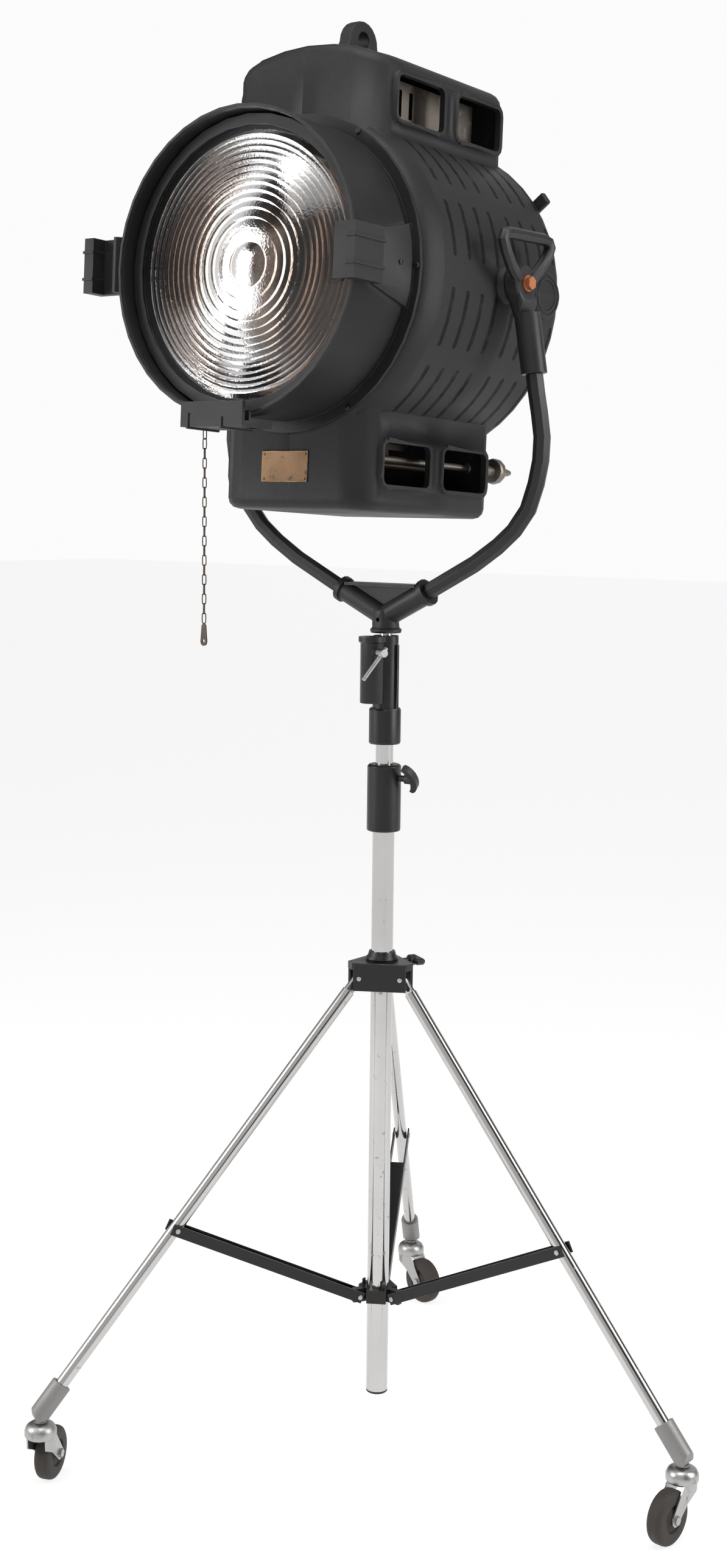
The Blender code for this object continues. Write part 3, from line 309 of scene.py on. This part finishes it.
def finish(name, colour, shade, metallic=0.0, rough=(0.4, 0.6), grain=(900.0, 0.3),
           wear=(0.0015, 0.0), worn=(0.2, 0.2, 0.2), blotch=(30.0, 0.0), stain=(0.2, 0.1, 0.05),
           gloss=0.5):
    """A Principled material: colour to shade by the mottle, then stains, then worn edges."""
    material = bpy.data.materials.new(name)
    material.use_nodes = True
    tree = material.node_tree
    shader = tree.nodes["Principled BSDF"]
    skin = grouped(tree, GRAIN, Scale=grain[0], Depth=grain[1])
    edge = grouped(tree, EDGES, Width=wear[0], Amount=wear[1])
    patch = grouped(tree, BLOTCHES, Scale=blotch[0], Cover=blotch[1])
    ground = mix(tree, skin.outputs["Mottle"], colour, shade)
    stained = mix(tree, patch.outputs["Mask"], ground, stain)
    tree.links.new(mix(tree, edge.outputs["Mask"], stained, worn), shader.inputs["Base Color"])
    rougher = add(tree, "ShaderNodeMapRange", i0=skin.outputs["Mottle"], i1=0.3, i2=0.7,
                  i3=rough[0], i4=rough[1])
    dull = maths(tree, "MULTIPLY", patch.outputs["Mask"], 0.35)
    tree.links.new(maths(tree, "ADD", rougher.outputs[0], dull), shader.inputs["Roughness"])
    if metallic:
        bare = maths(tree, "SUBTRACT", metallic, patch.outputs["Mask"])
        tree.links.new(bare, shader.inputs["Metallic"])
    tree.links.new(skin.outputs["Normal"], shader.inputs["Normal"])
    shader.inputs["Specular IOR Level"].default_value = gloss
    return material


FINISH = {
    "head_paint": finish(
        "head_paint", (0.007, 0.007, 0.008), (0.013, 0.013, 0.014), rough=(0.40, 0.56),
        grain=(1100.0, 0.6), wear=(0.0014, 0.45), worn=(0.10, 0.098, 0.095),
        blotch=(24.0, 0.27), stain=(0.030, 0.028, 0.026), gloss=0.28),
    "yoke_paint": finish(
        "yoke_paint", (0.008, 0.008, 0.0085), (0.017, 0.0165, 0.016), rough=(0.34, 0.50),
        grain=(800.0, 0.45), wear=(0.0018, 0.6), worn=(0.15, 0.145, 0.14),
        blotch=(18.0, 0.30), stain=(0.040, 0.036, 0.033), gloss=0.34),
    "powder_coat": finish(
        "powder_coat", (0.006, 0.006, 0.0065), (0.012, 0.012, 0.0125), rough=(0.26, 0.42),
        grain=(700.0, 0.55), wear=(0.0014, 0.6), worn=(0.20, 0.19, 0.18),
        blotch=(30.0, 0.27), stain=(0.06, 0.045, 0.035), gloss=0.36),
    "knob_plastic": finish(
        "knob_plastic", (0.008, 0.008, 0.0085), (0.014, 0.014, 0.0145), rough=(0.40, 0.55),
        grain=(500.0, 0.2), wear=(0.0015, 0.5), worn=(0.12, 0.12, 0.12)),
    "chrome": finish(
        "chrome", (0.62, 0.61, 0.60), (0.50, 0.49, 0.48), metallic=1.0, rough=(0.08, 0.20),
        grain=(260.0, 0.04), wear=(0.001, 0.0), worn=(0.6, 0.6, 0.6),
        blotch=(55.0, 0.38), stain=(0.12, 0.06, 0.03)),
    "cast_alloy": finish(
        "cast_alloy", (0.33, 0.32, 0.31), (0.24, 0.235, 0.23), metallic=0.75, rough=(0.45, 0.62),
        grain=(420.0, 0.6), wear=(0.0015, 0.6), worn=(0.55, 0.54, 0.52),
        blotch=(26.0, 0.36), stain=(0.13, 0.11, 0.09)),
    "zinc": finish(
        "zinc", (0.50, 0.50, 0.49), (0.38, 0.38, 0.37), metallic=1.0, rough=(0.28, 0.46),
        grain=(300.0, 0.15), wear=(0.0012, 0.4), worn=(0.7, 0.7, 0.68),
        blotch=(40.0, 0.42), stain=(0.17, 0.085, 0.04)),
    "rubber": finish(
        "rubber", (0.022, 0.019, 0.017), (0.045, 0.037, 0.031), rough=(0.62, 0.82),
        grain=(420.0, 0.5), wear=(0.002, 0.3), worn=(0.09, 0.08, 0.07),
        blotch=(22.0, 0.42), stain=(0.10, 0.085, 0.07)),
    "bronze": finish(
        "bronze", (0.10, 0.058, 0.030), (0.055, 0.033, 0.019), metallic=0.9, rough=(0.30, 0.48),
        grain=(600.0, 0.3), wear=(0.0014, 0.9), worn=(0.55, 0.36, 0.19),
        blotch=(40.0, 0.42), stain=(0.03, 0.026, 0.022)),
    "copper_steel": finish(
        "copper_steel", (0.52, 0.20, 0.09), (0.34, 0.12, 0.055), metallic=0.7, rough=(0.38, 0.55),
        grain=(500.0, 0.45), wear=(0.0012, 0.5), worn=(0.75, 0.38, 0.22),
        blotch=(60.0, 0.40), stain=(0.20, 0.07, 0.03)),
    "dull_steel": finish(
        "dull_steel", (0.26, 0.235, 0.21), (0.15, 0.125, 0.10), metallic=0.9, rough=(0.32, 0.52),
        grain=(500.0, 0.3), wear=(0.0010, 0.6), worn=(0.50, 0.46, 0.42),
        blotch=(60.0, 0.42), stain=(0.16, 0.075, 0.035)),
    # The reflector's dark brown base colour is painted shade of the inside of the closed housing.
    "mirror_metal": finish(
        "mirror_metal", (0.20, 0.155, 0.125), (0.11, 0.085, 0.07), metallic=1.0, rough=(0.22, 0.36),
        grain=(60.0, 0.05), wear=(0.001, 0.0), worn=(0.8, 0.8, 0.8),
        blotch=(20.0, 0.36), stain=(0.10, 0.07, 0.05)),
    "chain_steel": finish(
        "chain_steel", (0.075, 0.062, 0.052), (0.045, 0.036, 0.030), metallic=0.85,
        rough=(0.35, 0.55), grain=(600.0, 0.3), wear=(0.0006, 0.8), worn=(0.36, 0.33, 0.30),
        blotch=(90.0, 0.45), stain=(0.12, 0.05, 0.025)),
}


def lens_glass(name, painted_shade_tint, roughness):
    """Pressed glass, clear but tinted dark: the tint is painted shade for the dark inside of the housing. A little
    rippled, with a mottle of dust in its roughness.
    """
    material = bpy.data.materials.new(name)
    material.use_nodes = True
    tree = material.node_tree
    shader = tree.nodes["Principled BSDF"]
    skin = grouped(tree, GRAIN, Scale=240.0, Depth=0.5)
    tree.links.new(mix(tree, skin.outputs["Mottle"], painted_shade_tint, tuple(c * 0.9 for c in painted_shade_tint)),
                   shader.inputs["Base Color"])
    dusty = add(tree, "ShaderNodeMapRange", i0=skin.outputs["Mottle"], i1=0.3, i2=0.7,
                i3=roughness, i4=roughness + 0.08)
    tree.links.new(dusty.outputs[0], shader.inputs["Roughness"])
    tree.links.new(skin.outputs["Normal"], shader.inputs["Normal"])
    shader.inputs["Transmission Weight"].default_value = 1.0
    shader.inputs["IOR"].default_value = 1.49
    return material


# The glass's dark brown tint is painted shade: it darkens what is seen through the lens, in place of the shade
# inside the housing.
FINISH["lens_glass"] = lens_glass("lens_glass", (0.24, 0.185, 0.155), 0.06)
print(len(FINISH), "finishes")


# %% [markdown]
# ## From working model to finished part
# A working model's mesh is loose triangles with knife-sharp edges.  Real castings and
# tubes have a small radius on every edge, and that radius is what catches the light.  So
# each part is copied, its doubles are merged, its flat triangles are joined back into
# faces, its sharp edges get a narrow bevel, and the copy stands in for the part.  The two
# slotted castings have none of that radius, and their barrel is shaded as a true cylinder.

# %% Helpers that place and finish a piece
BODY_OF = {node: body for body, members in frame["record"]["behaviour"]["bodies"].items()
           for node in members}
SLOT_OF = {row["node"]: row["material_slot"] for row in frame["record"]["subparts"]}


SHARP_ANGLE = 34.0       # degrees between two faces, from which their edge is sharp
MERGE_DISTANCE = 1e-5


def new_object(name, bm, material, body, smooth=SHARP_ANGLE):
    """A finished piece from a bmesh: shaded smooth, dressed, and riding on its body."""
    mesh = bpy.data.meshes.new(name)
    bm.to_mesh(mesh)
    bm.free()
    mesh.shade_smooth()
    mesh.set_sharp_from_angle(angle=math.radians(smooth))
    mesh.materials.append(FINISH[material])
    thing = bpy.data.objects.new(name, mesh)
    bpy.context.scene.collection.objects.link(thing)
    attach(thing, body)
    return thing


def merged(node):
    """The part's mesh as a bmesh, its doubles merged."""
    bm = bmesh.new()
    bm.from_mesh(NODES[node].data)
    bmesh.ops.remove_doubles(bm, verts=bm.verts, dist=MERGE_DISTANCE)
    return bm


def joined(bm, piece):
    """Adds a small bmesh to a larger one, and frees the small one."""
    part = bpy.data.meshes.new("part")
    piece.to_mesh(part)
    piece.free()
    bm.from_mesh(part)
    bpy.data.meshes.remove(part)


def flat_faces_whole(bm):
    """Joins the triangles of each flat face, so that a bevel runs cleanly along its rim."""
    bmesh.ops.dissolve_limit(bm, angle_limit=math.radians(0.6), verts=bm.verts, edges=bm.edges)
    return bm


def soft_edges(thing, width, segments=2):
    bevel = thing.modifiers.new("soft_edges", "BEVEL")
    bevel.width = width
    bevel.segments = segments
    bevel.limit_method = "ANGLE"
    bevel.angle_limit = math.radians(SHARP_ANGLE)
    bevel.harden_normals = True
    return thing


def refined(node, width, material=None):
    """A smooth, softly edged copy that stands for the part."""
    slot = SLOT_OF[node]
    whole = flat_faces_whole(merged(node))
    thing = new_object(node + "_finished", whole, material or slot, BODY_OF[node])
    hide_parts(node)
    return soft_edges(thing, width)


print("parts to dress:", len(SLOT_OF))


# %% [markdown]
# ## The slotted castings
# The two halves of the head are thin castings whose sides are pierced by rows of curved
# slots, which let the lamp's heat out.  A slot is a flat bar with round ends: a cube whose
# four upright edges are bevelled by about half its width.  It is cut across at a few places
# along its length, and bent round the barrel, and one Boolean is given all of a side's slots.
#
# As it stands, the Boolean opens the slots of the left casting only.  On the right casting it
# leaves the wall whole, with the bars' faces lying in it, so that side's slots are still to
# be opened.

# %% Slots round the barrel
BARREL_R = 0.307
SLOT_WIDTH = 0.012
SLOT_DEPTH = 0.030
SLOT_PITCH = 0.0464
SLOT_YS = [first + SLOT_PITCH * i for first in (-0.172, 0.0276) for i in range(4)]
SLOT_ROWS = ((5.0, 25.5), (32.5, 54.0))      # degrees above and below the barrel's middle
SHORTER_START = 11.0                         # degrees, for the slots beside the medallion
MEDALLION_Y = 0.130
MEDALLION_CLEAR_R = 0.050


def bent_slot(bm, y, start, end, sides):
    """Adds one slot between two angles to a bmesh, mirrored to the given sides."""
    length = math.radians(end - start) * BARREL_R
    turn = math.radians(start + end) / 2
    slot = bmesh.new()
    size = Matrix.Diagonal((length, SLOT_WIDTH, SLOT_DEPTH, 1.0))
    bmesh.ops.create_cube(slot, size=1.0, matrix=size)
    uprights = [e for e in slot.edges if abs(e.verts[0].co.z - e.verts[1].co.z) > SLOT_DEPTH / 3]
    bmesh.ops.bevel(slot, geom=uprights, offset=SLOT_WIDTH * 0.49, segments=3, profile=0.5,
                    affect="EDGES", material=-1)
    for share in (-0.25, 0.0, 0.25):
        bmesh.ops.bisect_plane(slot, geom=slot.verts[:] + slot.edges[:] + slot.faces[:],
                               plane_co=(share * length, 0, 0), plane_no=(1, 0, 0))
    for vert in slot.verts:
        angle = vert.co.x / BARREL_R + turn
        radius = BARREL_R + vert.co.z
        vert.co = (sides[0] * radius * math.cos(angle), y + vert.co.y,
                   sides[1] * radius * math.sin(angle))
    bmesh.ops.recalc_face_normals(slot, faces=slot.faces)
    slot.transform(HEAD)
    joined(bm, slot)


def round_shading(mesh):
    """Shades the barrel's flats as one true cylinder, also between its slots."""
    near_barrel, facing_out = 0.0012, 0.9
    to_head = HEAD.inverted()
    normals = [corner.vector.copy() for corner in mesh.corner_normals]
    for face in mesh.polygons:
        spots = [to_head @ mesh.vertices[v].co for v in face.vertices]
        if any(abs(math.hypot(p.x, p.z) - BARREL_R) > near_barrel for p in spots):
            continue
        outwards = HEAD_TURN @ Vector((spots[0].x, 0, spots[0].z)).normalized()
        if face.normal.dot(outwards) < facing_out:
            continue
        for loop, p in zip(face.loop_indices, spots):
            normals[loop] = HEAD_TURN @ Vector((p.x, 0, p.z)).normalized()
    mesh.normals_split_custom_set(normals)


def slotted(node, side):
    """The casting of one side after the slots' Boolean, which opens them only on the left."""
    cutters = bmesh.new()
    for y in SLOT_YS:
        for start, end in SLOT_ROWS:
            if side > 0 and start < SHORTER_START and abs(y - MEDALLION_Y) < MEDALLION_CLEAR_R:
                start = SHORTER_START
            for flip in (1, -1):
                bent_slot(cutters, y, start, end, (side, flip))
    slot = SLOT_OF[node]
    casting = new_object(node + "_finished", merged(node), slot, BODY_OF[node])
    mesh = bpy.data.meshes.new("cutters")
    cutters.to_mesh(mesh)
    cutters.free()
    cutter = bpy.data.objects.new("cutters", mesh)
    bpy.context.scene.collection.objects.link(cutter)
    step = casting.modifiers.new("slots", "BOOLEAN")
    step.operation = "DIFFERENCE"
    step.solver = "MANIFOLD"
    step.object = cutter
    graph = bpy.context.evaluated_depsgraph_get()
    result = bpy.data.meshes.new_from_object(casting.evaluated_get(graph), depsgraph=graph)
    casting.modifiers.clear()
    casting.data = result
    bpy.data.objects.remove(cutter)
    result.shade_smooth()
    result.set_sharp_from_angle(angle=math.radians(SHARP_ANGLE))
    round_shading(result)
    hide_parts(node)
    print(node, len(result.polygons), "faces after the slots' Boolean")


slotted("housing_left", -1)
slotted("housing_right", 1)

# %% [markdown]
# ## The castings, tubes and fittings that keep their shape
# Most of the other parts only need their edges softened.  Heavy castings have a generous radius,
# and sheet metal and small fittings a narrow one.

# %% Soft edges on the rest
EDGE_OF = {
    "lens_barrel": 0.0008, "lens_ring": 0.0006, "bracket_left": 0.0016, "bracket_right": 0.0012,
    "bracket_bottom": 0.0012, "lifting_eye": 0.004, "rear_door": 0.001, "door_latch": 0.002,
    "tilt_fitting_left": 0.0022, "tilt_fitting_right": 0.0022, "yoke_hub": 0.0022,
    "yoke_arm_left": 0.0008, "yoke_arm_right": 0.0008, "receiver": 0.0012, "riser_collar": 0.001,
    "leg_crown": 0.0016, "spreader_collar": 0.0012, "collar_knob": 0.0016, "crown_knob": 0.0016,
    "receiver_handle": 0.0008, "medallion": 0.0008, "reflector": 0.0006, "lamp_carriage": 0.0008,
    "lamp_globe": 0.0004, "tilt_bolt_left": 0.0006, "tilt_bolt_right": 0.0006, "name_plate": 0.0004,
    "focus_screw": 0.0006, "guide_rail_left": 0.0004, "guide_rail_right": 0.0004,
    "vent_baffle": 0.0004, "cable_gland": 0.0006, "post_plug": 0.0006, "spigot": 0.0004,
    "base_post": 0.0004, "riser_tube": 0.0006,
}
for stem, width in (("leg_tube_", 0.0008), ("leg_socket_", 0.0012), ("caster_fork_", 0.0007),
                    ("brace_", 0.0007)):
    for leg in ("right", "rear", "left"):
        EDGE_OF[stem + leg] = width
for node, width in EDGE_OF.items():
    refined(node, width)
print("softened", len(EDGE_OF), "parts")

# %% [markdown]
# ## The fresnel lens
# A fresnel lens is a thick lens folded flat: each step keeps the slope of the thick lens
# and throws its depth away, so the steps crowd together towards the rim.  The profile is
# turned in fine segments, because its rings are what the eye reads first.

# %% Turn the lens
LENS_STEPS = 14
LENS_R = 0.2535
LENS_EDGE_Y = -0.382
LENS_BACK_Y = -0.366


def spun(profile, segments, place):
    """A solid turned about Z from (radius, height) points, and put in its place."""
    bm = bmesh.new()
    points = [bm.verts.new((radius, 0.0, height)) for radius, height in profile]
    edges = [bm.edges.new(pair) for pair in zip(points, points[1:])]
    if profile[0][0] > 0.0 or profile[-1][0] > 0.0:
        edges.append(bm.edges.new((points[-1], points[0])))
    bmesh.ops.spin(bm, geom=points + edges, cent=(0, 0, 0), axis=(0, 0, 1), angle=2 * math.pi,
                   steps=segments, use_merge=True)
    bmesh.ops.remove_doubles(bm, verts=bm.verts, dist=1e-6)
    bm.transform(place)
    bmesh.ops.recalc_face_normals(bm, faces=bm.faces)
    return bm


FIRST_RING_R = 0.0415
CROWDING = 0.65             # under 1, so that the rings crowd together towards the rim
DEEPEST_STEP = 0.0085
STEP_SLOPE_R = 0.30         # the radius at which a step would be as deep as it is wide

radii = [FIRST_RING_R * k ** CROWDING for k in range(1, LENS_STEPS + 1)] + [LENS_R]
profile = [(0.0, -0.3885), (0.012, -0.3880), (0.022, -0.3868), (0.032, -0.3848),
           (radii[0], LENS_EDGE_Y)]
for inner, outer in zip(radii, radii[1:]):
    depth = min(DEEPEST_STEP, (outer - inner) * inner / STEP_SLOPE_R)
    profile.append((inner + 0.0004, LENS_EDGE_Y - depth * 0.75))
    profile.append(((inner + outer) / 2, LENS_EDGE_Y - depth * 0.36))
    profile.append((outer, LENS_EDGE_Y + depth * 0.25))
profile[-1] = (LENS_R, LENS_EDGE_Y)
profile += [(LENS_R, LENS_BACK_Y), (0.0, LENS_BACK_Y)]
lens = new_object("fresnel_lens_finished", spun(profile, 128, HEAD @ TO_Y), "lens_glass", "head",
                  smooth=20.0)
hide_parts("fresnel_lens")
print("lens rings at", [round(1000 * r) for r in radii], "mm")

# %% [markdown]
# ## Wheels
# A caster's wheel is a hub pressed into a moulded tyre.  One turned profile gives both,
# with a rounded tread and a hub that stands out round its bearing.

# %% Turn the wheels
WHEEL_R = 0.0508
HALF = 0.016                # half of the wheel's width
for leg in ("right", "rear", "left"):
    joint = JOINTS["wheel_spin_" + leg]
    axis = Vector(joint["axis"])
    place = Matrix.Translation(joint["pos_m"]) @ axis.to_track_quat("Z", "Y").to_matrix().to_4x4()
    side = [(0.0054, HALF), (0.0130, HALF), (0.0140, HALF - 0.0010), (0.0200, HALF - 0.0042),
            (0.0250, HALF - 0.0042), (0.0262, HALF - 0.0008), (0.0300, HALF), (0.0420, HALF - 0.0004),
            (0.0455, HALF - 0.0014), (0.0485, HALF - 0.0036), (0.0500, HALF - 0.0062),
            (0.05035, HALF - 0.0092), (WHEEL_R, HALF - 0.0098)]
    outline = [(radius, -height) for radius, height in side] + side[::-1]
    wheel = new_object("wheel_%s_finished" % leg, spun(outline, 64, place), "rubber",
                       BODY_OF["wheel_" + leg], smooth=28.0)
    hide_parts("wheel_" + leg)
print("wheels turned, radius", WHEEL_R)

# %% [markdown]
# ## The safety chain
# The chain hangs plumb from the lower bracket and ends in a snap hook.  A link is a ring
# of wire, a small torus, stretched to an oblong.  Every other link is turned a quarter
# round, as a chain's links are.

# %% Links and hook
WIRE_R = 0.0011
LINK_R = 0.0034
LINK_STRETCH = 0.0062


def link(bm, centre, turn):
    """Adds one oblong link of round wire, standing upright, to a bmesh."""
    ring = bmesh.new()
    circle = bmesh.ops.create_circle(ring, cap_ends=False, radius=WIRE_R, segments=8,
                                     matrix=Matrix.Translation((LINK_R, 0, 0)))
    geom = circle["verts"] + ring.edges[:]
    bmesh.ops.spin(ring, geom=geom, cent=(0, 0, 0), axis=(0, 1, 0), angle=2 * math.pi, steps=16,
                   use_merge=True)
    bmesh.ops.remove_doubles(ring, verts=ring.verts, dist=1e-6)
    for vert in ring.verts:
        vert.co.z += math.copysign(LINK_STRETCH, vert.co.z) if abs(vert.co.z) > 1e-5 else 0.0
    bmesh.ops.recalc_face_normals(ring, faces=ring.faces)
    ring.transform(Matrix.Translation(centre) @ Matrix.Rotation(turn, 4, "Z"))
    joined(bm, ring)


chain_low, chain_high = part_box("safety_chain")
middle = (chain_low + chain_high) / 2
pitch = 2 * (LINK_R + LINK_STRETCH) - 2 * WIRE_R
links = bmesh.new()
count = int((chain_high.z - chain_low.z) / pitch)
for i in range(count):
    z = chain_high.z - (i + 0.5) * (chain_high.z - chain_low.z) / count
    link(links, (middle.x, middle.y, z), math.radians(25 + 90 * (i % 2)))
LINK_SMOOTH = 60
chain = new_object("safety_chain_finished", links, "chain_steel", BODY_OF["safety_chain"],
                   LINK_SMOOTH)
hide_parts("safety_chain")
refined("snap_hook", 0.0006, "chain_steel")
print("chain of", count, "links over", round(chain_high.z - chain_low.z, 3), "m")

# %% [markdown]
# ## Screws, rivets and bolts
# The flange of the lens barrel is screwed to the castings, the crown's plates are riveted
# and each brace turns on a rivet at either end.  A screw head is a short cylinder with a bevelled rim;
# each group of heads is one mesh.

# %% Fasteners
def head_of(bm, place, direction, radius, height, sides=16):
    """Adds a bevelled screw or rivet head to a bmesh, standing on a surface point."""
    head = bmesh.new()
    bmesh.ops.create_cone(head, cap_ends=True, segments=sides, radius1=radius, radius2=radius,
                          depth=height, matrix=Matrix.Translation((0, 0, height / 2)))
    rim = [e for e in head.edges if min(v.co.z for v in e.verts) > height * 0.9]
    bmesh.ops.bevel(head, geom=rim, offset=min(radius, height) * 0.4, segments=3, profile=0.5,
                    affect="EDGES", material=-1)
    turn = Vector(direction).to_track_quat("Z", "Y").to_matrix().to_4x4()
    head.transform(Matrix.Translation(place) @ turn)
    joined(bm, head)


FLANGE_R, FLANGE_Y = 0.2845, -0.2580
PAD_BOLT = Vector((0.2783, -0.300, 0.0))
ahead = HEAD_TURN @ Vector((0, -1, 0))
flange = bmesh.new()
for degrees in (0, 60, 120, 180, 240, 300):
    angle = math.radians(degrees)
    spot = HEAD @ Vector((FLANGE_R * math.cos(angle), FLANGE_Y, FLANGE_R * math.sin(angle)))
    head_of(flange, spot, ahead, 0.0052, 0.0034)
pad_side = HEAD_TURN @ Vector((1, 0, 0))
head_of(flange, HEAD @ PAD_BOLT, pad_side, 0.0050, 0.0040, 6)
new_object("flange_screws", flange, "powder_coat", "head")

CROWN_FACE_R, CROWN_RIVET_Z, CROWN_RIVET_OFFSET = 0.0450, 0.948, 0.041
crown = bmesh.new()
for azimuth in (60, 180, 300):
    outwards = Vector((math.cos(math.radians(azimuth)), math.sin(math.radians(azimuth)), 0))
    across = Vector((-outwards.y, outwards.x, 0))
    for offset in (-CROWN_RIVET_OFFSET, CROWN_RIVET_OFFSET):
        spot = Vector((POST_X, 0, CROWN_RIVET_Z)) + outwards * CROWN_FACE_R + across * offset
        head_of(crown, spot, outwards, 0.0046, 0.0018)
new_object("crown_rivets", crown, "zinc", BODY_OF["leg_crown"])

BRACE_PIVOTS = ((0.047, 0.288), (0.435, 0.478))     # radius and height, inner then outer
BRACE_OUTER_FACE = 0.0175
for leg, azimuth in (("right", 0), ("rear", 120), ("left", 240)):
    out = Vector((math.cos(math.radians(azimuth)), math.sin(math.radians(azimuth)), 0))
    across = Vector((-out.y, out.x, 0))
    rivets = bmesh.new()
    for radius, z in BRACE_PIVOTS:
        for side in (1, -1):
            spot = Vector((POST_X, 0, z)) + out * radius + across * (BRACE_OUTER_FACE * side)
            head_of(rivets, spot, across * side, 0.0050, 0.0022)
    new_object("brace_rivets_" + leg, rivets, "zinc", BODY_OF["brace_" + leg])
print("fasteners added")

# %% [markdown]
# ## Name plate and medallion
# The name plate is a blank bronze plate with four rivets.  The medallion is a plain cast disc
# with two rings of beads, and carries no mark.  A shackle joins the chain to its bracket, and
# a plain steel sheet stands inside each window box.

# %% Trim, shackle and light traps
PLATE_INSET = 0.006
PLATE_FACE_Y = -0.2470
PLATE_RIVET_ZS = (-0.3750, -0.3295)
plate_low, plate_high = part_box("name_plate")
trim = bmesh.new()
for x in (plate_low.x + PLATE_INSET, plate_high.x - PLATE_INSET):
    for z in PLATE_RIVET_ZS:
        spot = HEAD @ Vector((x - HEAD.translation.x, PLATE_FACE_Y, z))
        head_of(trim, spot, ahead, 0.0022, 0.0012)
new_object("plate_rivets", trim, "bronze", "head")

SHACKLE_PLACE = Vector((-0.072, -0.400, -0.3035))
shackle = bmesh.new()
link(shackle, HEAD @ SHACKLE_PLACE, math.radians(70))
new_object("chain_shackle", shackle, "chain_steel", "head", LINK_SMOOTH)

SHEET_SIZE = (0.0016, 0.370, 0.104)
SHEET_X, SHEET_Y = -0.150, -0.040
SHEET_ZS = (0.312, -0.352)      # the middle of the upper and of the lower window box
traps = bmesh.new()
for z in SHEET_ZS:
    sheet = Matrix.Translation((SHEET_X, SHEET_Y, z)) @ Matrix.Diagonal((*SHEET_SIZE, 1))
    bmesh.ops.create_cube(traps, size=1.0, matrix=HEAD @ sheet)
soft_edges(new_object("light_traps", traps, "dull_steel", "head"), 0.0004)

MEDALLION_Z = -0.003
MEDALLION_FACE_R = BARREL_R + 0.0048
BEADS_PER_RING = 72
rings = bmesh.new()
for radius in (0.040, 0.031):
    for i in range(BEADS_PER_RING):
        angle = math.tau * i / BEADS_PER_RING
        y = MEDALLION_Y + radius * math.cos(angle)
        z = MEDALLION_Z + radius * math.sin(angle)
        x = math.sqrt(MEDALLION_FACE_R ** 2 - z * z)
        outwards = HEAD_TURN @ Vector((x, 0, z)).normalized()
        head_of(rings, HEAD @ Vector((x, y, z)), outwards, 0.0021, 0.0010, 6)
new_object("medallion_beads", rings, "head_paint", "head")
print("trim added")
